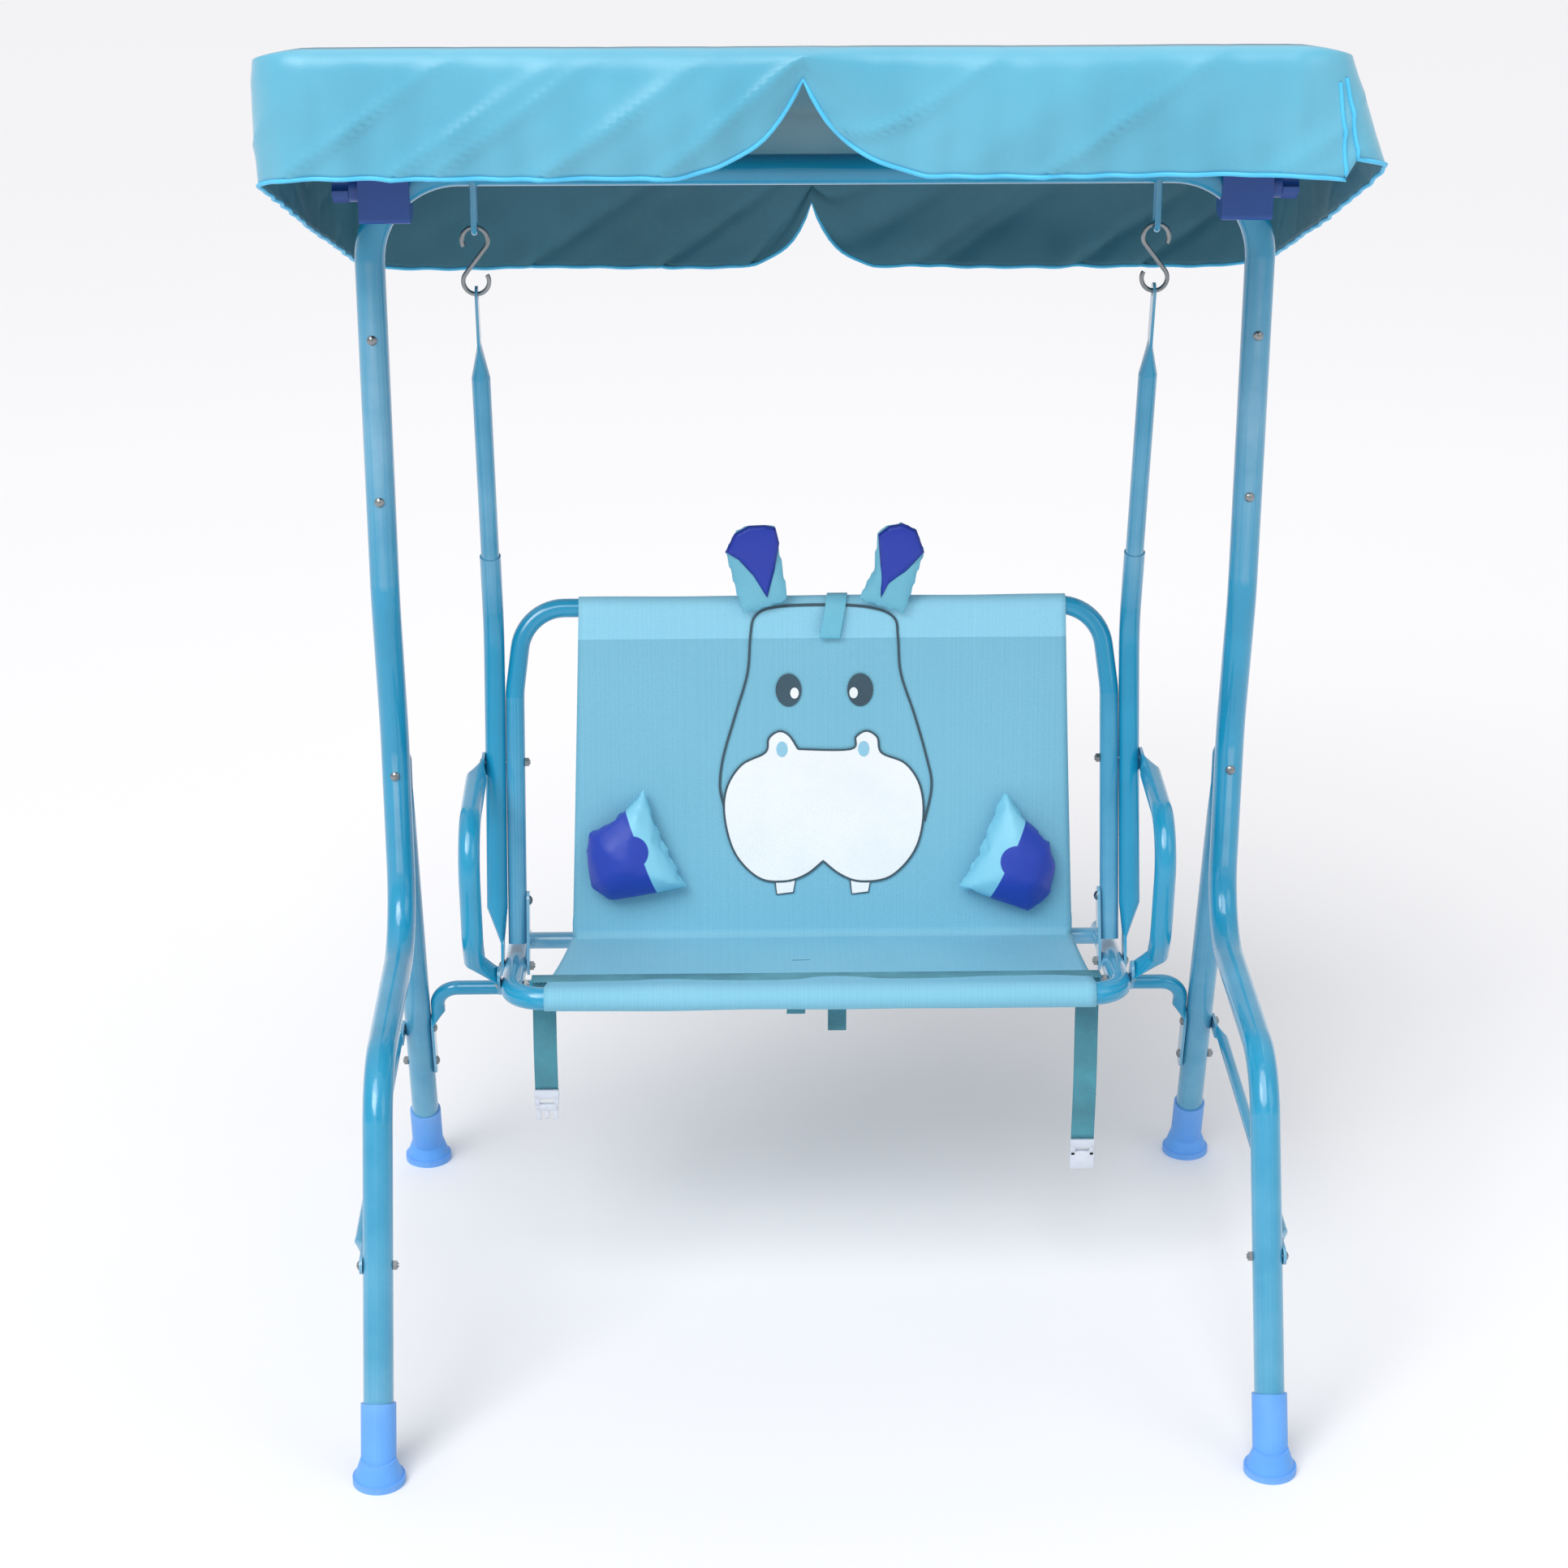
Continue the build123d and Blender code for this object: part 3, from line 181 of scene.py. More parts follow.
def beyond(tree, origin, way, soft=0.0004):
    """A mask that is 1 where a point in object space is beyond origin along way."""
    where = node(tree, "ShaderNodeTexCoord").outputs["Object"]
    offset = node(tree, "ShaderNodeVectorMath", {0: where, 1: tuple(origin)}, operation="SUBTRACT")
    along = node(
        tree, "ShaderNodeVectorMath", {0: offset.outputs[0], 1: tuple(way)}, operation="DOT_PRODUCT"
    )
    span = {"Value": along.outputs["Value"], "From Min": -soft, "From Max": soft}
    return node(tree, "ShaderNodeMapRange", span).outputs[0]


def material(
    name, low, high, roughness, wear_scale=18.0, weave=None, lines=0.0,
    bump=0.05, worn=0.0, tone=None, **shader,
):
    """A Principled finish from low to high colour; tone is (a mask builder, a second colour)."""
    if name in bpy.data.materials:
        return bpy.data.materials[name]
    made = bpy.data.materials.new(name)
    made.use_nodes = True
    tree = made.node_tree
    principled = tree.nodes["Principled BSDF"]
    wear = node(tree, "ShaderNodeGroup", node_tree=wear_group())
    wear.inputs["Scale"].default_value = wear_scale
    last = mixed(tree, wear.outputs["Mottle"], linear(low), linear(high))
    if tone:
        last = mixed(tree, tone[0](tree), last, linear(tone[1]))
    height = wear.outputs["Fine"]
    if weave:
        cloth = node(tree, "ShaderNodeGroup", node_tree=weave_group())
        cloth.inputs["Threads"].default_value = weave
        height = cloth.outputs["Height"]
        if lines:
            last = mixed(tree, lines, last, cloth.outputs["Lines"], "SOFT_LIGHT")
    if worn:
        rubbed = node(tree, "ShaderNodeMath", {0: wear.outputs["Edges"], 1: worn}, operation="MULTIPLY")
        last = mixed(tree, rubbed.outputs[0], last, linear("DCE6EA"))
    dusty = node(tree, "ShaderNodeMath", {0: wear.outputs["Dust"], 1: 0.10}, operation="MULTIPLY")
    last = mixed(tree, dusty.outputs[0], last, linear("E4E2DE"))
    tree.links.new(last, principled.inputs["Base Color"])
    rough = node(
        tree,
        "ShaderNodeMapRange",
        {"Value": wear.outputs["Mottle"], "To Min": roughness - 0.05, "To Max": roughness + 0.08},
    )
    tree.links.new(rough.outputs[0], principled.inputs["Roughness"])
    raised = node(tree, "ShaderNodeBump", {"Height": height, "Strength": bump, "Distance": 0.0005})
    tree.links.new(raised.outputs[0], principled.inputs["Normal"])
    for key, value in shader.items():
        principled.inputs[key.replace("_", " ")].default_value = value
    return made


def sleeve_band(tree):
    """Where the sling is doubled over its top tube."""
    return beyond(tree, CREASE + BACK_WAY * SLEEVE_STITCH, BACK_WAY)


def toe_mask(side):
    """Where a paw is dark: beyond a slanting seam, or inside the round toe."""
    seams = {
        "left": ((-0.1834, 0.0984), (-0.940, -0.341), (-0.1933, 0.1009)),
        "right": ((0.2093, 0.0892), (0.910, -0.414), (0.2171, 0.0876)),
    }

    def build(tree):
        (sx, su), (wx, wu), (cx, cu) = seams[side]
        seam = beyond(tree, Vector((sx, 0, 0)) + CREASE + BACK_WAY * su, Vector((wx, 0, 0)) + BACK_WAY * wu)
        where = node(tree, "ShaderNodeTexCoord").outputs["Object"]
        centre = Vector((cx, 0, 0)) + CREASE + BACK_WAY * cu
        offset = node(tree, "ShaderNodeVectorMath", {0: where, 1: tuple(centre)}, operation="SUBTRACT")
        facing = {0: offset.outputs[0], 1: tuple(BACK_FRONT)}
        flat = node(tree, "ShaderNodeVectorMath", facing, operation="CROSS_PRODUCT")
        size = node(tree, "ShaderNodeVectorMath", {0: flat.outputs[0]}, operation="LENGTH")
        span = {"Value": size.outputs["Value"], "From Min": 0.0184, "From Max": 0.0176}
        toe = node(tree, "ShaderNodeMapRange", span)
        return node(tree, "ShaderNodeMath", {0: seam, 1: toe.outputs[0]}, operation="MAXIMUM").outputs[0]

    return build


def materials():
    """Every finish by name."""
    return {
        "blue_paint": material(
            "Blue powder coat", "0A86AE", "149AC4", 0.22, bump=0.06, worn=0.35, **{"Coat_Weight": 0.6}
        ),
        "zinc_plate": material("Bright zinc", "74787A", "A8ACAE", 0.30, 40.0, bump=0.04, Metallic=1.0),
        "foot_plastic": material("Foot moulding", "4A90DC", "66AAF4", 0.42, bump=0.1, worn=0.2),
        "bracket_plastic": material("Bracket moulding", "143F86", "2058AC", 0.38, bump=0.1),
        "canopy_cloth": material(
            "Canopy cloth", "4499B6", "6BBAD4", 0.27, 6.0, weave=2600.0, bump=0.12, **{"Sheen_Weight": 0.15}
        ),
        # The canopy's underside is the same cloth in darker colours: painted shade for where the canopy
        # shades its own inner face.
        "canopy_painted_shade": material("Canopy underside, painted shade", "2E6474", "3D7F92", 0.55, 7.0, weave=2600.0, bump=0.15),
        "sling_mesh": material(
            "Sling mesh", "70B4CE", "80C0D8", 0.62, 5.0, weave=1900.0, lines=0.3, bump=0.3,
            tone=(sleeve_band, "8FD0E8")
        ),
        "piping": material("Bound edge", "3DB4E4", "5CCBF4", 0.45, 30.0, weave=2400.0, bump=0.2),
        "paw_satin": material(
            "Royal satin", "0C2CA0", "1638B0", 0.30, 14.0, weave=2800.0, bump=0.12, **{"Sheen_Weight": 0.05}
        ),
        "ear_cloth": material("Ear cloth", "63AFC8", "7CC4DA", 0.5, 14.0, weave=2400.0, bump=0.2),
        "left_paw": material(
            "Left paw", "78C6E2", "8AD2EA", 0.42, 14.0, weave=2600.0, bump=0.15,
            tone=(toe_mask("left"), "1A3CAC"),
        ),
        "right_paw": material(
            "Right paw", "78C6E2", "8AD2EA", 0.42, 14.0, weave=2600.0, bump=0.15,
            tone=(toe_mask("right"), "1A3CAC"),
        ),
        "forelock_ribbon": material("Ribbon", "5FB4D0", "78C4DA", 0.45, 20.0, weave=2200.0, bump=0.25),
        "webbing": material("Webbing", "3A6A7A", "4FA3B5", 0.7, 25.0, weave=1500.0, bump=0.5),
        "buckle_plastic": material(
            "Clear moulding", "D4DCEC", "EEF2FA", 0.16, 30.0, bump=0.03, **{"Transmission_Weight": 0.35}
        ),
        "print_dark": material("Print, slate", "2E4652", "3C5866", 0.6, 20.0, weave=1900.0, bump=0.2),
        "print_white": material("Print, white", "E4EAEE", "F6F8FA", 0.6, 20.0, weave=1900.0, bump=0.2),
        "print_blue": material("Print, blue", "86BFD8", "98CCE2", 0.6, 20.0, weave=1900.0, bump=0.2),
    }


# ---------------------------------------------------------------- mesh helpers


def piece(name, bm, body, finish):
    """A finished object from a bmesh, riding on a body."""
    bmesh.ops.recalc_face_normals(bm, faces=bm.faces)
    mesh = bpy.data.meshes.new(name)
    bm.to_mesh(mesh)
    bm.free()
    for polygon in mesh.polygons:
        polygon.use_smooth = True
    made = bpy.data.objects.new(name, mesh)
    bpy.context.scene.collection.objects.link(made)
    mesh.materials.append(materials()[finish])
    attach(made, body)
    return made


def grid(rows, closed=False):
    """A bmesh of quads over rows of points."""
    bm = bmesh.new()
    verts = [[bm.verts.new(point) for point in row] for row in rows]
    across = len(rows[0])
    for i in range(len(rows) - 1):
        for j in range(across if closed else across - 1):
            k = (j + 1) % across
            bm.faces.new((verts[i][j], verts[i][k], verts[i + 1][k], verts[i + 1][j]))
    return bm


def thicken(bm, amount):
    """Gives a sheet its thickness."""
    bmesh.ops.recalc_face_normals(bm, faces=bm.faces)
    bmesh.ops.solidify(bm, geom=bm.faces[:] + bm.edges[:] + bm.verts[:], thickness=amount)
    return bm


def sheet_area(bm):
    """The flat area of a sheet, before it is thickened."""
    return sum(face.calc_area() for face in bm.faces)


def ribbon(centres, across, half_width, thickness):
    """A strap along centres, with its width along across, gently rounded at its edges."""
    across = Vector(across).normalized()
    ring = [(-1.0, -0.6), (-0.9, -1.0), (0.9, -1.0), (1.0, -0.6)]
    ring += [(1.0, 0.6), (0.9, 1.0), (-0.9, 1.0), (-1.0, 0.6)]
    rows = []
    for i, centre in enumerate(centres):
        way = (centres[min(i + 1, len(centres) - 1)] - centres[max(i - 1, 0)]).normalized()
        out = way.cross(across).normalized()
        rows.append([centre + across * u * half_width + out * v * thickness / 2 for u, v in ring])
    bm = grid(rows, closed=True)
    bm.verts.ensure_lookup_table()
    bm.faces.new(bm.verts[:8])
    bm.faces.new(bm.verts[-8:])
    return bm


def pillow(outline, base, up_way, front_way, front, behind, rings=6, peak=1.0):
    """A closed stuffed form on an outline of (x, up) points: front and behind are how far it swells."""
    middle = [sum(p[k] for p in outline) / len(outline) for k in (0, 1)]
    dense = []
    for a, b in zip(outline, outline[1:] + outline[:1]):
        dense += [tuple(a[k] + (b[k] - a[k]) * step / 4 for k in (0, 1)) for step in range(4)]
    rows = []
    for swell in (-behind, front):
        ring_rows = []
        for step in range(rings + 1):
            scale = 1 - 0.94 * step / rings
            raised = swell * (1 - scale**2) ** (0.5 if peak == 1.0 else peak)
            ring_rows.append(
                [
                    base
                    + Vector((middle[0] + (x - middle[0]) * scale, 0, 0))
                    + up_way * (middle[1] + (up - middle[1]) * scale)
                    + front_way * raised
                    for x, up in dense
                ]
            )
        rows += ring_rows[::-1] if swell < 0 else ring_rows[1:]
    bm = grid(rows, closed=True)
    bm.verts.ensure_lookup_table()
    count = len(dense)
    bm.faces.new(bm.verts[:count])
    bm.faces.new(bm.verts[-count:])
    return bm


def puff(made, cap):
    """Swells a padded piece with Cloth, keeps it within cap of its start, and applies it."""
    view = bpy.context.view_layer
    view.objects.active = made
    remesh = made.modifiers.new("Remesh", "REMESH")
    remesh.mode, remesh.voxel_size = "VOXEL", 0.004
    with bpy.context.temp_override(object=made, active_object=made):
        bpy.ops.object.modifier_apply(modifier="Remesh")
    before = [vertex.co.copy() for vertex in made.data.vertices]
    cloth = made.modifiers.new("Cloth", "CLOTH")
    cloth.settings.use_pressure = True
    cloth.settings.uniform_pressure_force = 4.0
    cloth.settings.effector_weights.gravity = 0.0
    for step in range(1, 21):
        bpy.context.scene.frame_set(step)
    with bpy.context.temp_override(object=made, active_object=made):
        bpy.ops.object.modifier_apply(modifier="Cloth")
    bpy.context.scene.frame_set(1)
    for vertex, start in zip(made.data.vertices, before):
        moved = vertex.co - start
        if moved.length > cap:
            vertex.co = start + moved.normalized() * cap
    soften = made.modifiers.new("Subdivision", "SUBSURF")
    soften.levels = soften.render_levels = 1
    for polygon in made.data.polygons:
        polygon.use_smooth = True


# ---------------------------------------------------------------- sling


def sling_profile():
    """Centre-line points of the sling from under the front tube, over the seat, to behind the top tube."""
    points = []
    seat = (CREASE - FRONT_TUBE).normalized()
    seat_up = Vector((0, -seat.z, seat.y))
    for step in range(9):
        angle = math.radians(230 - step * 230 / 8)
        points.append(
            FRONT_TUBE + FRONT_SLEEVE * (seat_up * math.cos(angle) - seat * math.sin(angle))
        )
    start = FRONT_TUBE + seat_up * FRONT_SLEEVE
    for step in range(1, 22):
        share = step / 22
        sag = -0.004 * math.sin(math.pi * share)
        points.append(start.lerp(CREASE, share) + Vector((0, 0, sag)))
    back = (TOP_TUBE - CREASE).normalized()
    front = Vector((0, -back.z, back.y))
    top = TOP_TUBE + front * TOP_SLEEVE
    for step in range(0, 44):
        share = step / 44
        sag = 0.006 * math.sin(math.pi * share)
        points.append(CREASE.lerp(top, share) - front * sag)
    for step in range(9):
        angle = math.radians(step * 200 / 8)
        points.append(TOP_TUBE + TOP_SLEEVE * (front * math.cos(angle) + back * math.sin(angle)))
    return points


def sling_edges(point):
    """The sling's left and right edges at a profile point."""
    if point.z > CREASE.z + 0.02 and point.y > CREASE.y - 0.01:
        share, a, b = (point.z - CREASE.z) / (TOP_TUBE.z - CREASE.z), SLING_EDGES[1], SLING_EDGES[2]
    else:
        share, a, b = (CREASE.y - point.y) / (CREASE.y - FRONT_TUBE.y), SLING_EDGES[1], SLING_EDGES[0]
    share = max(0.0, min(1.0, share))
    return a[0] + (b[0] - a[0]) * share, a[1] + (b[1] - a[1]) * share


def back_surface(x, up):
    """The front of the back rest at x, up metres along it from the crease, and the way it faces."""
    length = (TOP_TUBE - CREASE).length
    if up > length:
        angle = (up - length) / TOP_SLEEVE
        facing = BACK_FRONT * math.cos(angle) + BACK_WAY * math.sin(angle)
        return Vector((x, 0, 0)) + TOP_TUBE + facing * TOP_SLEEVE, facing
    share = max(0.0, up / length)
    top = TOP_TUBE + BACK_FRONT * TOP_SLEEVE
    base = CREASE.lerp(top, share) - BACK_FRONT * 0.006 * math.sin(math.pi * share)
    ripple = 0.0012 * noise.noise(Vector((x * 9, up * 5, 3.0)))
    return Vector((x, base.y, base.z)) + BACK_FRONT * ripple, BACK_FRONT


class SlingSettings(bpy.types.PropertyGroup):
    thickness: bpy.props.FloatProperty(
        name="Thickness", description="Thickness of the mesh", default=0.0016, unit="LENGTH"
    )
    columns: bpy.props.IntProperty(name="Columns", description="Quads across the sling", default=72)
    stitch: bpy.props.FloatProperty(
        name="Stitch", description="Depth of a sewn line", default=0.0009, unit="LENGTH"
    )


class SWING_OT_sling(bpy.types.Operator):
    """Builds the sling with its sleeves, creases and stitch lines"""

    bl_idname = "swing.sling"
    bl_label = "Sling"

    def execute(self, context):
        settings = context.scene.swing_sling
        rows = []
        profile = sling_profile()
        for i, point in enumerate(profile):
            left, right = sling_edges(point)
            way = (profile[min(i + 1, len(profile) - 1)] - profile[max(i - 1, 0)]).normalized()
            out = Vector((0, -way.z, way.y))
            sewn = abs((point - CREASE).dot(BACK_WAY) - SLEEVE_STITCH) < 0.004 and point.z > CREASE.z + 0.1
            row = []
            for j in range(settings.columns + 1):
                x = left + (right - left) * j / settings.columns
                ripple = 0.0012 * noise.noise(Vector((x * 9, (point - CREASE).length * 5, 3.0)))
                lift = ripple - (settings.stitch if sewn else 0.0)
                row.append(Vector((x, point.y, point.z)) + out * lift)
            rows.append(row)
        bm = grid(rows)
        area = sheet_area(bm)
        sling = piece("sling_cloth", thicken(bm, settings.thickness), "seat", "sling_mesh")
        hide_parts("sling")
        return {"FINISHED"}


# ---------------------------------------------------------------- the printed face


def print_patch(name, outline, finish, lift):
    """A printed shape on the back rest: outline is (x, up) points round it, in metres."""
    bm = bmesh.new()
    bm.faces.new([bm.verts.new((x, up, 0.0)) for x, up in outline])
    bmesh.ops.triangulate(bm, faces=bm.faces)
    bmesh.ops.subdivide_edges(bm, edges=[e for e in bm.edges if e.calc_length() > 0.012], cuts=3)
    bmesh.ops.triangulate(bm, faces=bm.faces)
    for vert in bm.verts:
        point, facing = back_surface(vert.co.x, vert.co.y)
        vert.co = point + facing * lift
    return piece(name, bm, "seat", finish)


def print_line(name, points, width, finish, lift):
    """A printed stroke through (x, up) points."""
    rows = []
    for i, (x, up) in enumerate(points):
        before, after = points[max(i - 1, 0)], points[min(i + 1, len(points) - 1)]
        dx, du = after[0] - before[0], after[1] - before[1]
        size = math.hypot(dx, du) or 1.0
        row = []
        for side in (-1, 1):
            point, front = back_surface(x - side * du / size * width / 2, up + side * dx / size * width / 2)
            row.append(point + front * lift)
        rows.append(row)
    return piece(name, grid(rows), "seat", finish)


def smooth_line(points, steps=6):
    """Catmull-Rom points through the given ones."""
    made = []
    for i in range(len(points) - 1):
        p = [points[max(i - 1, 0)], points[i], points[i + 1], points[min(i + 2, len(points) - 1)]]
        for step in range(steps):
            t = step / steps
            made.append(
                tuple(
                    0.5
                    * (
                        2 * p[1][k]
                        + (p[2][k] - p[0][k]) * t
                        + (2 * p[0][k] - 5 * p[1][k] + 4 * p[2][k] - p[3][k]) * t * t
                        + (3 * p[1][k] - p[0][k] - 3 * p[2][k] + p[3][k]) * t**3
                    )
                    for k in (0, 1)
                )
            )
    return made + [points[-1]]


def smooth_loop(points, steps=7):
    """(x, up, out) points smoothed as one line."""
    flat = smooth_line([(p[0], p[1]) for p in points], steps)
    lift = smooth_line([(p[2], 0.0) for p in points], steps)
    return [(a[0], a[1], b[0]) for a, b in zip(flat, lift)]


def oval(x, up, wide, high, count=32):
    """Points round an oval."""
    return [
        (x + wide / 2 * math.cos(math.tau * k / count), up + high / 2 * math.sin(math.tau * k / count))
        for k in range(count)
    ]


class SWING_OT_face(bpy.types.Operator):
    """Prints the animal face on the back rest"""

    bl_idname = "swing.face"
    bl_label = "Printed Face"

    def execute(self, context):
        head = [(-0.0946, 0.1426), (-0.0989, 0.1654), (-0.0948, 0.1979), (-0.0818, 0.243), (-0.0688, 0.288)]
        head += [(-0.0654, 0.3296), (-0.0602, 0.350), (-0.040, 0.3594), (0.012, 0.3615), (0.061, 0.3587)]
        head += [(0.0863, 0.3477), (0.0907, 0.3253), (0.094, 0.2868), (0.1088, 0.2416), (0.1217, 0.1962)]
        head += [(0.1276, 0.1636), (0.1201, 0.1245)]
        print_line("print_head", smooth_line(head), 0.0026, "print_dark", 0.0018)
        left = [(-0.0152, 0.205), (-0.0247, 0.220), (-0.0355, 0.2246), (-0.0464, 0.2169), (-0.0503, 0.2014)]
        left += [(-0.0758, 0.188), (-0.0919, 0.1621), (-0.094, 0.1295), (-0.0828, 0.0902), (-0.0573, 0.0637)]
        left += [(-0.0285, 0.0602), (-0.0061, 0.0679), (0.0113, 0.0822)]
        right = [(0.0292, 0.0676), (0.0517, 0.0595), (0.0837, 0.0645), (0.1093, 0.0918), (0.1188, 0.1278)]
        right += [(0.1154, 0.1637), (0.0994, 0.1885), (0.0739, 0.2004), (0.0694, 0.2173), (0.0579, 0.2245)]
        right += [(0.0465, 0.2181), (0.0408, 0.2046), (-0.0152, 0.205)]
        ring = smooth_line(left)[:-1] + smooth_line([left[-1]] + right)[:-1]
        for name, x in (("left", -0.0407), ("right", 0.0401)):
            tooth = [(x, 0.062), (x + 0.0224, 0.062), (x + 0.020, 0.0475), (x + 0.002, 0.0455)]
            print_patch(f"print_{name}_tooth", tooth, "print_white", 0.0016)
            print_line(f"print_{name}_tooth_edge", tooth + tooth[:1], 0.0016, "print_dark", 0.0018)
        print_patch("print_muzzle", ring, "print_white", 0.0020)
        print_line("print_muzzle_edge", ring + ring[:1], 0.0022, "print_dark", 0.0024)
        for name, eye, glint, nostril in (
            ("left", -0.0252, -0.0189, -0.0324),
            ("right", 0.0509, 0.0439, 0.0548),
        ):
            print_patch(f"print_{name}_eye", oval(eye, 0.2694, 0.0275, 0.036), "print_dark", 0.0018)
            print_patch(f"print_{name}_glint", oval(glint, 0.2662, 0.009, 0.012), "print_white", 0.0022)
            print_patch(f"print_{name}_nostril", oval(nostril, 0.2048, 0.012, 0.017), "print_blue", 0.0024)
        return {"FINISHED"}


# ---------------------------------------------------------------- ears, paws, forelock


class PaddedSettings(bpy.types.PropertyGroup):
    cap: bpy.props.FloatProperty(
        name="Swell", description="Furthest a padded piece may swell", default=0.006, unit="LENGTH"
    )


class SWING_OT_padded(bpy.types.Operator):
    """Builds the stuffed ears and paws"""

    bl_idname = "swing.padded"
    bl_label = "Ears and Paws"

    def execute(self, context):
        cap = context.scene.swing_padded.cap
        ears = {
            "left": (
                [(-0.0748, 0.7065), (-0.0847, 0.7424), (-0.0944, 0.782), (-0.0837, 0.8042), (-0.0681, 0.8126),
                 (-0.0494, 0.8138), (-0.037, 0.8111), (-0.0326, 0.7849), (-0.0276, 0.7552),
                 (-0.0235, 0.7240), (-0.0490, 0.7150)],
                [(-0.0915, 0.782), (-0.0820, 0.802), (-0.0675, 0.8105), (-0.0500, 0.8115), (-0.0390, 0.8085),
                 (-0.0350, 0.7914), (-0.0400, 0.7619), (-0.0477, 0.7310), (-0.0621, 0.7554),
                 (-0.0776, 0.7733)],
            ),
            "right": (
                [(0.0453, 0.7240), (0.0601, 0.7612), (0.0659, 0.8039), (0.0783, 0.8116), (0.0938, 0.8148),
                 (0.1095, 0.8068), (0.1199, 0.7805), (0.1104, 0.7476), (0.0985, 0.7065), (0.0720, 0.7150)],
                [(0.0680, 0.8005), (0.0790, 0.8095), (0.0938, 0.8125), (0.1080, 0.8050), (0.1165, 0.7805),
                 (0.0977, 0.7596), (0.0790, 0.7445), (0.0715, 0.7300), (0.0705, 0.7677)],
            ),
        }
        upright, ahead = Vector((0, 0, 1)), Vector((0, -1, 0))
        for side, (shell_line, lining_line) in ears.items():
            base = Vector((0, TOP_TUBE.y - TOP_SLEEVE - 0.0096, 0))
            shell = piece(
                f"{side}_ear_shell", pillow(shell_line, base, upright, ahead, 0.0055, 0.0035),
                "seat", "ear_cloth",
            )
            puff(shell, cap * 0.4)
            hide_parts(f"{side}_ear")
            lining = piece(
                f"{side}_ear_lining",
                pillow(lining_line, base + ahead * 0.0066, upright, ahead, 0.0035, 0.002),
                "seat", "paw_satin",
            )
        paws = {
            "left": [(-0.1791, 0.1674), (-0.1324, 0.0558), (-0.1664, 0.0469), (-0.2178, 0.0400),
                     (-0.2399, 0.0554), (-0.2445, 0.0948), (-0.2422, 0.1177), (-0.2003, 0.1467)],
            "right": [(0.2042, 0.1656), (0.1531, 0.0520), (0.1899, 0.0385), (0.2338, 0.0240),
                      (0.2573, 0.0445), (0.2640, 0.0774), (0.2579, 0.1037), (0.2288, 0.1334)],
        }
        for side, outline in paws.items():
            base = CREASE + BACK_FRONT * 0.0085
            bm = pillow(outline, base, BACK_WAY, BACK_FRONT, 0.033, 0.001, rings=9, peak=0.75)
            for vert in bm.verts:
                crumple = noise.noise(vert.co * 45.0) * 0.0022 + noise.noise(vert.co * 110.0) * 0.0008
                if (vert.co - base).dot(BACK_FRONT) > 0.004:
                    vert.co += BACK_FRONT * crumple
            paw = piece(f"{side}_paw_stuffed", bm, "seat", f"{side}_paw")
            puff(paw, cap)
            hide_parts(f"{side}_paw")
        return {"FINISHED"}


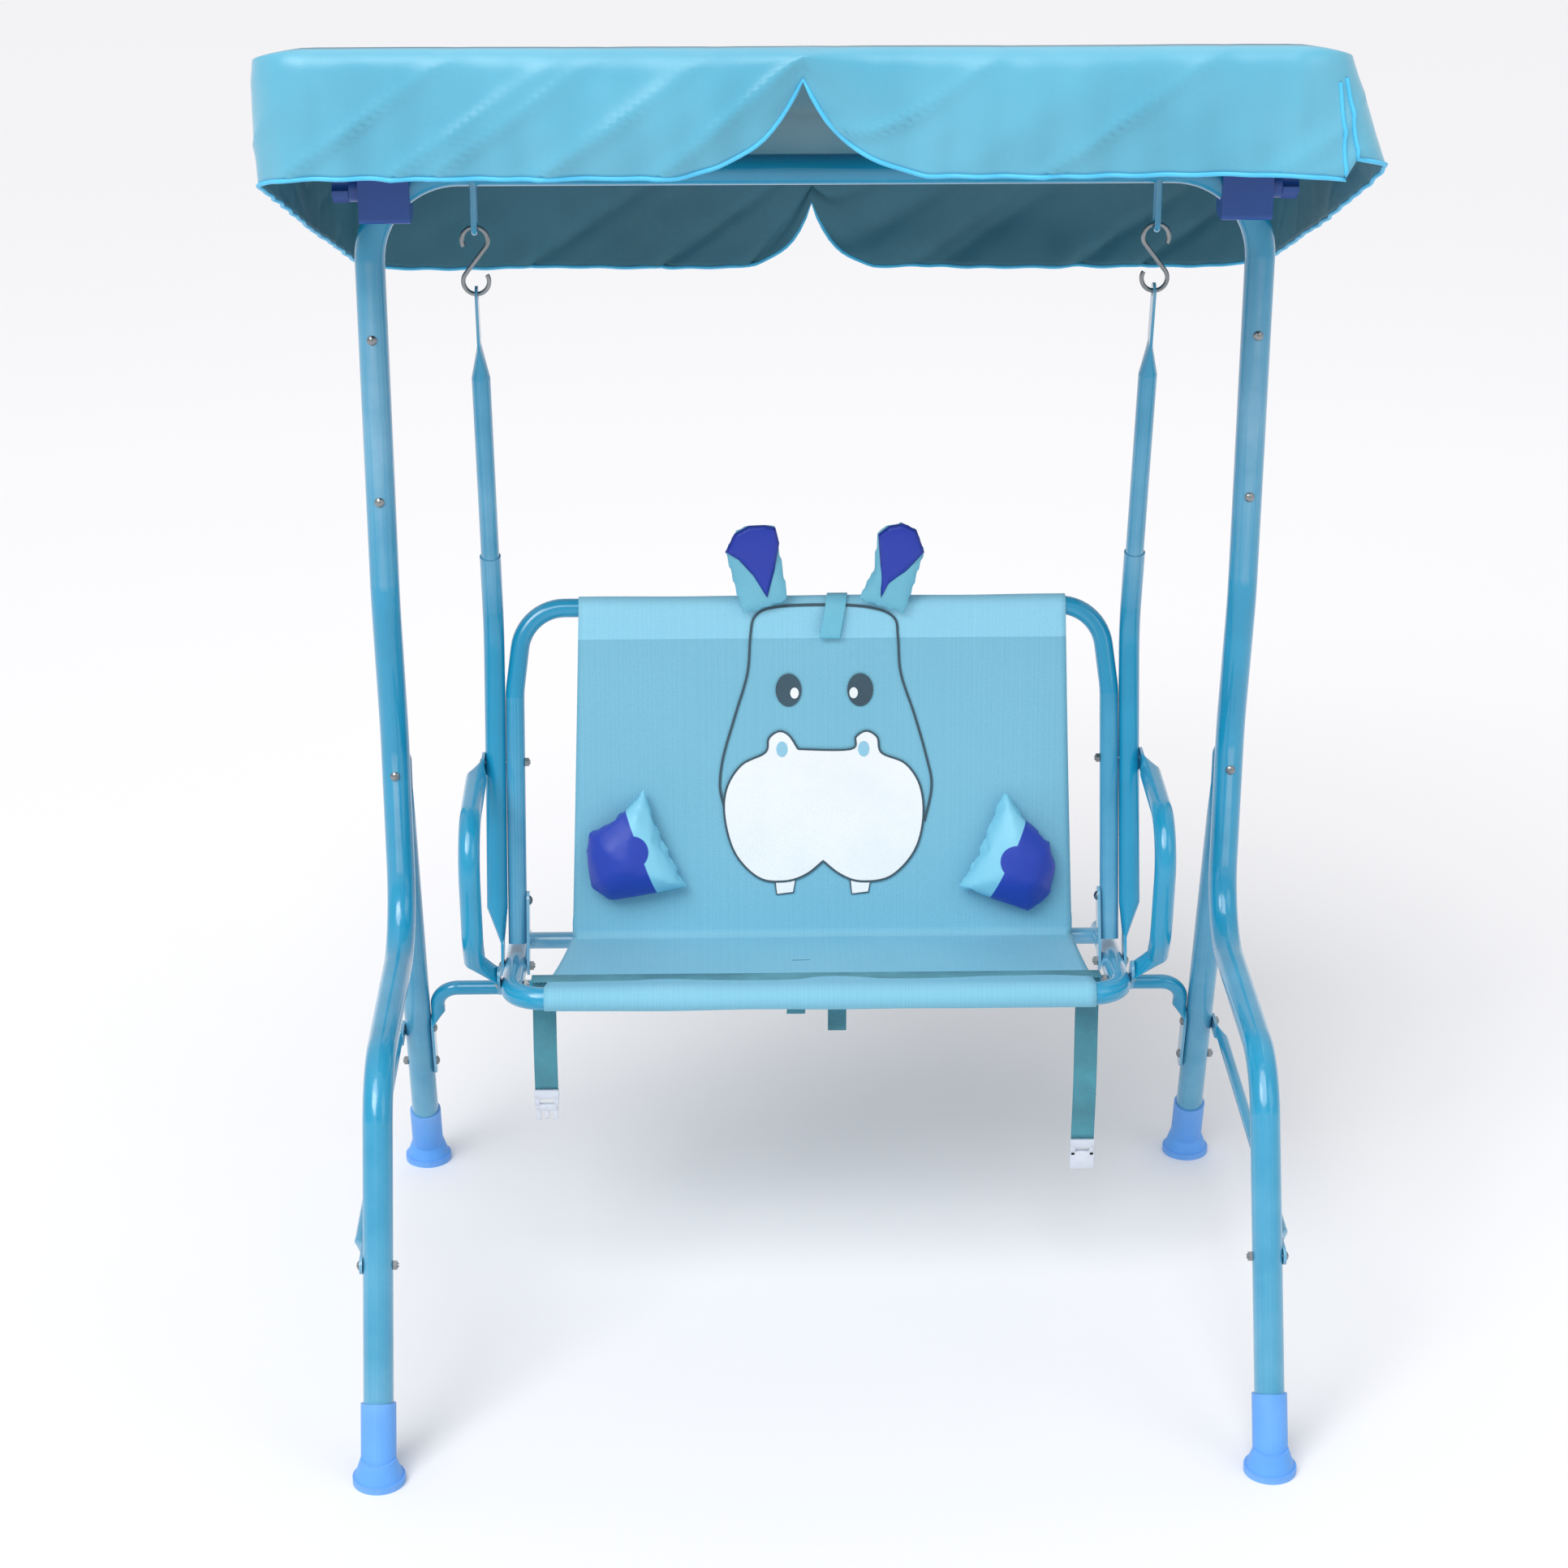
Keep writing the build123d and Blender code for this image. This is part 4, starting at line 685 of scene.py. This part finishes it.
class SWING_OT_straps(bpy.types.Operator):
    """Builds the forelock, the belts with their buckles, and the strap ends"""

    bl_idname = "swing.straps"
    bl_label = "Straps"

    def execute(self, context):
        loop = []
        for x, up, out in smooth_loop(((0.0265, 0.372, 0.003), (0.019, 0.332, 0.007), (0.020, 0.330, 0.003),
                                       (0.0245, 0.362, 0.002))):
            point, facing = back_surface(x, up)
            loop.append(point + facing * (out + 0.0015))
        lock = piece("forelock_loop", ribbon(loop, (1, 0, 0), 0.0108, 0.0010), "seat", "forelock_ribbon")
        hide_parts("forelock")
        length = sum((b - a).length for a, b in zip(loop, loop[1:]))
        low, high = (Vector(corner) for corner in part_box("under_seat_strap"))
        middle = (low + high) / 2
        span = high.x - low.x
        run = [Vector((low.x + span * k / 20, middle.y, middle.z)) for k in range(21)]
        slope = Vector((0, 1, -0.15)).normalized()
        strap = piece("strap_across", ribbon(run, slope, 0.0125, 0.0018), "seat", "webbing")
        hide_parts("under_seat_strap")
        for side in ("left", "right"):
            low, high = (Vector(corner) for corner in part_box(f"{side}_belt"))
            middle = (low + high) / 2
            path = []
            for k in range(31):
                share = k / 30
                bow = 0.004 * math.sin(math.pi * 2.2 * share) * (1 - share * 0.5)
                path.append(Vector((middle.x, middle.y + bow, high.z + (low.z - high.z) * share)))
            webbing = ribbon(path, (1, 0, 0), 0.0122, 0.0018)
            belt = piece(f"{side}_lap_belt", webbing, "seat", "webbing")
            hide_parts(f"{side}_belt")
            run = sum((b - a).length for a, b in zip(path, path[1:]))
            self.buckle(side)
        low, high = (Vector(corner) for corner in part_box("crotch_strap_ends"))
        y = (low.y + high.y) / 2
        for name, x, length, lean in (("short", -0.014, 0.062, 0.006), ("long", 0.024, 0.082, 0.0)):
            path = [
                Vector((x - lean * k / 16, y + 0.002 * math.sin(k / 4), high.z - length * k / 16))
                for k in range(17)
            ]
            webbing = ribbon(path, (1, 0, 0), 0.0098, 0.0018)
            end = piece(f"strap_end_{name}", webbing, "seat", "webbing")
            run = sum((b - a).length for a, b in zip(path, path[1:]))
        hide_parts("crotch_strap_ends")
        return {"FINISHED"}

    def buckle(self, side):
        """A half of a side-release buckle: the left one has prongs, the right one is the socket."""
        low, high = (Vector(corner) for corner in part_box(f"{side}_buckle"))
        middle, size = (low + high) / 2, high - low
        blocks = [(0.0, 0.36, 1.0, 0.28), (-0.38, 0.12, 0.2, 0.3), (0.38, 0.12, 0.2, 0.3)]
        if side == "left":
            blocks += [(0.0, -0.08, 0.84, 0.2), (-0.34, -0.32, 0.2, 0.36), (0.34, -0.32, 0.2, 0.36)]
            blocks += [(0.0, -0.3, 0.16, 0.34)]
        else:
            blocks += [(0.0, -0.2, 1.0, 0.6)]
        bm = bmesh.new()
        for x, z, wide, high_share in blocks:
            made = bmesh.ops.create_cube(bm, size=1.0)["verts"]
            for vert in made:
                vert.co = Vector(
                    (
                        middle.x + size.x * (x + vert.co.x * wide),
                        middle.y + size.y * vert.co.y * 0.8,
                        middle.z + size.z * (z + vert.co.z * high_share),
                    )
                )
        bmesh.ops.bevel(
            bm, geom=bm.edges[:], offset=0.0009, segments=3, affect="EDGES", profile=0.5, material=-1
        )
        made = piece(f"{side}_buckle_half", bm, "seat", "buckle_plastic")
        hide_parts(f"{side}_buckle")


# ---------------------------------------------------------------- canopy


class CanopySettings(bpy.types.PropertyGroup):
    valance: bpy.props.FloatProperty(
        name="Valance", description="Depth of the valance", default=0.113, unit="LENGTH"
    )
    flare: bpy.props.FloatProperty(
        name="Flare",
        description="How far the right valance stands out at its hem",
        default=0.036, unit="LENGTH",
    )
    pucker: bpy.props.FloatProperty(
        name="Pucker", description="Depth of the gathers along the hem", default=0.0022, unit="LENGTH"
    )


def cover_plan(count=480):
    """Points round the canopy's plan, and the way each faces, from the middle of the front."""
    corners = [
        (COVER_X, COVER_FRONT[0], -90), (COVER_X, COVER_REAR[0], 0),
        (-COVER_X, COVER_REAR[0], 90), (-COVER_X, COVER_FRONT[0], 180),
    ]
    outline = [(0.0, COVER_FRONT[0])]
    for x, y, start in corners:
        cx = x - math.copysign(COVER_CORNER, x)
        cy = y + (COVER_CORNER if y < 0 else -COVER_CORNER)
        for step in range(13):
            angle = math.radians(start + step * 90 / 12)
            outline.append((cx + COVER_CORNER * math.cos(angle), cy + COVER_CORNER * math.sin(angle)))
    outline.append((0.0, COVER_FRONT[0]))
    lengths = [0.0]
    for a, b in zip(outline, outline[1:]):
        lengths.append(lengths[-1] + math.hypot(b[0] - a[0], b[1] - a[1]))
    made, leg = [], 0
    for k in range(count):
        want = lengths[-1] * k / count
        while lengths[leg + 1] < want:
            leg += 1
        share = (want - lengths[leg]) / (lengths[leg + 1] - lengths[leg])
        a, b = outline[leg], outline[leg + 1]
        point = Vector((a[0] + (b[0] - a[0]) * share, a[1] + (b[1] - a[1]) * share, 0))
        point.x = point.x * 1.018 + askew(point.y)
        way = Vector((b[0] - a[0], b[1] - a[1], 0)).normalized()
        made.append((point, Vector((way.y, -way.x, 0))))
    return made


def askew(y):
    """The cover sits a little to the left at the front and to the right at the rear."""
    share = (y - COVER_FRONT[0]) / (COVER_REAR[0] - COVER_FRONT[0])
    return -0.021 + 0.028 * share


def folds(point, depth):
    """Soft folds of a valance: broad ones, and sharper ones that run down from the top."""
    broad = 0.0105 * noise.noise(Vector((point.x * 5.5, point.y * 5.5, depth * 0.8)))
    slant = point.x * 10 + depth * 1.6
    ridge = 1 - abs(noise.noise(Vector((slant, point.y * 10, 4.0))) * 2.4)
    sharp = 0.0065 * max(0.0, ridge) ** 4
    tight = 0.0016 * noise.noise(Vector((point.x * 34, point.y * 34, depth * 3)))
    return (broad + sharp + tight) * min(1.0, 0.25 + depth * 1.2)


def cover_height(y):
    slope = (COVER_REAR[1] - COVER_FRONT[1]) / (COVER_REAR[0] - COVER_FRONT[0])
    return COVER_FRONT[1] + (y - COVER_FRONT[0]) * slope


def bell(x, half_width):
    """A bell-shaped gap: 1 at its middle and 0 beyond half_width."""
    share = min(1.0, abs(x) / half_width)
    return (1 - share) ** 1.6 * (1 - 0.35 * math.sin(math.pi * share))


class SWING_OT_canopy(bpy.types.Operator):
    """Builds the canopy's sheet with its valances, notches and bound hem"""

    bl_idname = "swing.canopy"
    bl_label = "Canopy"

    def execute(self, context):
        settings = context.scene.swing_canopy
        plan = cover_plan()
        centre = Vector((0.0, (COVER_FRONT[0] + COVER_REAR[0]) / 2, 0.0))
        rows = []
        for scale in (0.02, 0.2, 0.4, 0.58, 0.72, 0.84, 0.91, 0.95, 0.972):
            row = []
            for point, out in plan:
                flat = centre + (point - centre) * scale
                sag = -0.004 * (1 - scale**2) + 0.0012 * noise.noise(Vector((flat.x * 7, flat.y * 7, 1.0)))
                row.append(Vector((flat.x, flat.y, cover_height(flat.y) - 0.001 + sag)))
            rows.append(row)
        hem = []
        depths = [0.0, 0.01, 0.03, 0.06, 0.10, 0.15] + [0.15 + 0.85 * k / 18 for k in range(1, 19)]
        for depth in depths:
            row = []
            for k, (point, out) in enumerate(plan):
                front, rear = out.y < -0.99, out.y > 0.99
                gap = 0.0
                if front:
                    gap = bell(point.x - askew(point.y), FRONT_NOTCH[0]) * FRONT_NOTCH[1]
                elif rear:
                    gap = bell(point.x - askew(point.y), REAR_NOTCH[0]) * REAR_NOTCH[1]
                along = (point.y - COVER_FRONT[0]) / (COVER_REAR[0] - COVER_FRONT[0])
                lifted = 0.20 * (1 - along) ** 5 if out.x > 0.72 else 0.0
                drop = settings.valance * (1 - gap - lifted) * depth
                side = max(0.0, out.x) ** 2
                flare = settings.flare * side * depth**1.2 * (1 - 0.85 * along)
                gather = settings.pucker * depth * math.sin(k * 0.9 + 2.0 * noise.noise(point * 8))
                turn = min(1.0, depth / 0.15)
                rounding = (SHOULDER_TURN * abs(out.x) - SHOULDER_TURN) * (1 - math.sin(math.acos(1 - turn)))
                billow = 0.007 * math.sin(math.pi * depth) * (1.0 if front else 0.5)
                soft = 1.0 - 0.7 * min(1.0, abs(out.x))
                crumple = soft * (gather + folds(point, depth))
                spot = point + out * (rounding + flare + billow + crumple)
                top = cover_height(point.y)
                row.append(Vector((spot.x, spot.y, top - 0.001 - drop)))
            rows.append(row)
            hem = row
        bm = grid(rows, closed=True)
        bm.verts.ensure_lookup_table()
        bm.faces.new(bm.verts[: len(plan)])
        corner = next(k for k, (point, out) in enumerate(plan) if out.x > 0.72) - 1
        first = len(rows) - len(depths) + 7
        parted = []
        for i in range(first, len(rows) - 1):
            ring = {i * len(plan) + corner, i * len(plan) + corner + 1}
            parted += [f for f in bm.verts[min(ring)].link_faces if ring <= {v.index for v in f.verts}]
        bmesh.ops.delete(bm, geom=list(set(parted)), context="FACES_ONLY")
        area = sheet_area(bm)
        bmesh.ops.recalc_face_normals(bm, faces=bm.faces)
        cover = piece("canopy_sheet", bm, "canopy", "canopy_cloth")
        # A second slot for the underside, coloured darker as painted shade.
        cover.data.materials.append(materials()["canopy_painted_shade"])
        run = [rows[i][corner + 1] for i in range(first, len(rows))] + hem[corner + 2 :] + hem[: corner + 1]
        run += [rows[i][corner] for i in range(len(rows) - 2, first - 1, -1)]
        rings = []
        for k, point in enumerate(run):
            way = (run[min(k + 1, len(run) - 1)] - run[max(k - 1, 0)]).normalized()
            aside = way.cross(Vector((0.3, 0.2, 1.0))).normalized()
            over = way.cross(aside)
            turns = [math.tau * j / 8 for j in range(8)]
            rings.append([point + (aside * math.cos(a) + over * math.sin(a)) * 0.0021 for a in turns])
        piece("canopy_piping", grid(rings, closed=True), "canopy", "piping")
        # The solidified inner face takes the second slot, so the underside and the inside of the valances
        # show the painted shade.
        thick = cover.modifiers.new("Thickness", "SOLIDIFY")
        thick.thickness, thick.offset, thick.material_offset = 0.0011, -1.0, 1
        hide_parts("canopy_cover")
        return {"FINISHED"}


# ---------------------------------------------------------------- finishes and stage


class SWING_OT_finishes(bpy.types.Operator):
    """Gives each metal and moulded part its finish"""

    bl_idname = "swing.finishes"
    bl_label = "Finishes"

    def execute(self, context):
        finishes = materials()
        slots = {entry["node"]: entry["material_slot"] for entry in frame["record"]["subparts"]}
        for name, made in frame["nodes"].items():
            for slot in made.material_slots:
                slot.link = "OBJECT"
                slot.material = finishes[slots[name]]
        return {"FINISHED"}


class StageSettings(bpy.types.PropertyGroup):
    lens: bpy.props.FloatProperty(name="Lens", description="Focal length in millimetres", default=79.75)
    pitch: bpy.props.FloatProperty(
        name="Pitch",
        description="How far the camera looks down",
        default=math.radians(22.47), subtype="ANGLE",
    )
    yaw: bpy.props.FloatProperty(
        name="Yaw", description="How far the camera looks right", default=math.radians(1.18), subtype="ANGLE"
    )


class SWING_OT_stage(bpy.types.Operator):
    """Builds the floor, the lights and the camera"""

    bl_idname = "swing.stage"
    bl_label = "Stage"

    def execute(self, context):
        settings = context.scene.swing_stage
        scene = context.scene
        bm = bmesh.new()
        bmesh.ops.create_grid(bm, x_segments=8, y_segments=8, size=40.0)
        mesh = bpy.data.meshes.new("floor")
        bm.to_mesh(mesh)
        bm.free()
        floor = bpy.data.objects.new("floor", mesh)
        scene.collection.objects.link(floor)
        mesh.materials.append(material("Studio floor", "ECEBED", "EEEDEF", 0.9, 0.4, bump=0.02))
        camera_data = bpy.data.cameras.new("camera")
        camera_data.lens, camera_data.sensor_width = settings.lens, 36.0
        camera = bpy.data.objects.new("camera", camera_data)
        camera.location = (-0.101, -3.326, 1.943)
        camera.rotation_euler = (math.radians(90) - settings.pitch, 0.0, -settings.yaw)
        scene.collection.objects.link(camera)
        scene.camera = camera
        for name, where, energy, size in (
            ("key", (-2.2, -2.6, 3.4), 34.0, 1.6),
            ("fill", (2.8, -2.2, 2.6), 14.0, 2.0),
            ("top", (0.2, 0.9, 4.2), 16.0, 3.0),
        ):
            data = bpy.data.lights.new(name, "AREA")
            data.energy, data.size = energy, size
            lamp = bpy.data.objects.new(name, data)
            lamp.location = where
            aim = Vector((0, 0, 0.7)) - Vector(where)
            lamp.rotation_euler = aim.to_track_quat("-Z", "Y").to_euler()
            scene.collection.objects.link(lamp)
        sun_data = bpy.data.lights.new("sun", "SUN")
        sun_data.energy, sun_data.angle = 1.75, math.radians(45)
        sun = bpy.data.objects.new("sun", sun_data)
        sun.rotation_euler = (math.radians(32), math.radians(-18), 0.0)
        scene.collection.objects.link(sun)
        world = bpy.data.worlds.new("studio")
        world.use_nodes = True
        background = world.node_tree.nodes["Background"]
        background.inputs["Color"].default_value = (0.98, 0.985, 1.0, 1.0)
        background.inputs["Strength"].default_value = 0.62
        scene.world = world
        scene.view_settings.view_transform = "Standard"
        return {"FINISHED"}


class SWING_PT_panel(bpy.types.Panel):
    """The swing's settings and build steps"""

    bl_idname = "SWING_PT_panel"
    bl_label = "Canopy Swing"
    bl_space_type = "VIEW_3D"
    bl_region_type = "UI"
    bl_category = "Canopy Swing"

    def draw(self, context):
        scene = context.scene
        for label, group_name, names in (
            ("Sling", "swing_sling", ("thickness", "columns", "stitch")),
            ("Padding", "swing_padded", ("cap",)),
            ("Canopy", "swing_canopy", ("valance", "flare", "pucker")),
            ("Stage", "swing_stage", ("lens", "pitch", "yaw")),
        ):
            box = self.layout.box()
            box.label(text=label)
            for name in names:
                box.prop(getattr(scene, group_name), name)
        for operator in OPERATORS:
            self.layout.operator(operator.bl_idname)


SETTINGS = (
    ("swing_sling", SlingSettings),
    ("swing_padded", PaddedSettings),
    ("swing_canopy", CanopySettings),
    ("swing_stage", StageSettings),
)
OPERATORS = (
    SWING_OT_finishes,
    SWING_OT_sling,
    SWING_OT_face,
    SWING_OT_padded,
    SWING_OT_straps,
    SWING_OT_canopy,
    SWING_OT_stage,
)


def register():
    for name, settings in SETTINGS:
        bpy.utils.register_class(settings)
        setattr(bpy.types.Scene, name, bpy.props.PointerProperty(type=settings))
    for operator in OPERATORS:
        bpy.utils.register_class(operator)
    bpy.utils.register_class(SWING_PT_panel)


def unregister():
    bpy.utils.unregister_class(SWING_PT_panel)
    for operator in reversed(OPERATORS):
        bpy.utils.unregister_class(operator)
    for name, settings in reversed(SETTINGS):
        delattr(bpy.types.Scene, name)
        bpy.utils.unregister_class(settings)


def main():
    register()
    bpy.ops.swing.finishes()
    bpy.ops.swing.sling()
    bpy.ops.swing.face()
    bpy.ops.swing.padded()
    bpy.ops.swing.straps()
    bpy.ops.swing.canopy()
    bpy.ops.swing.stage()


if __name__ == "__main__":
    main()
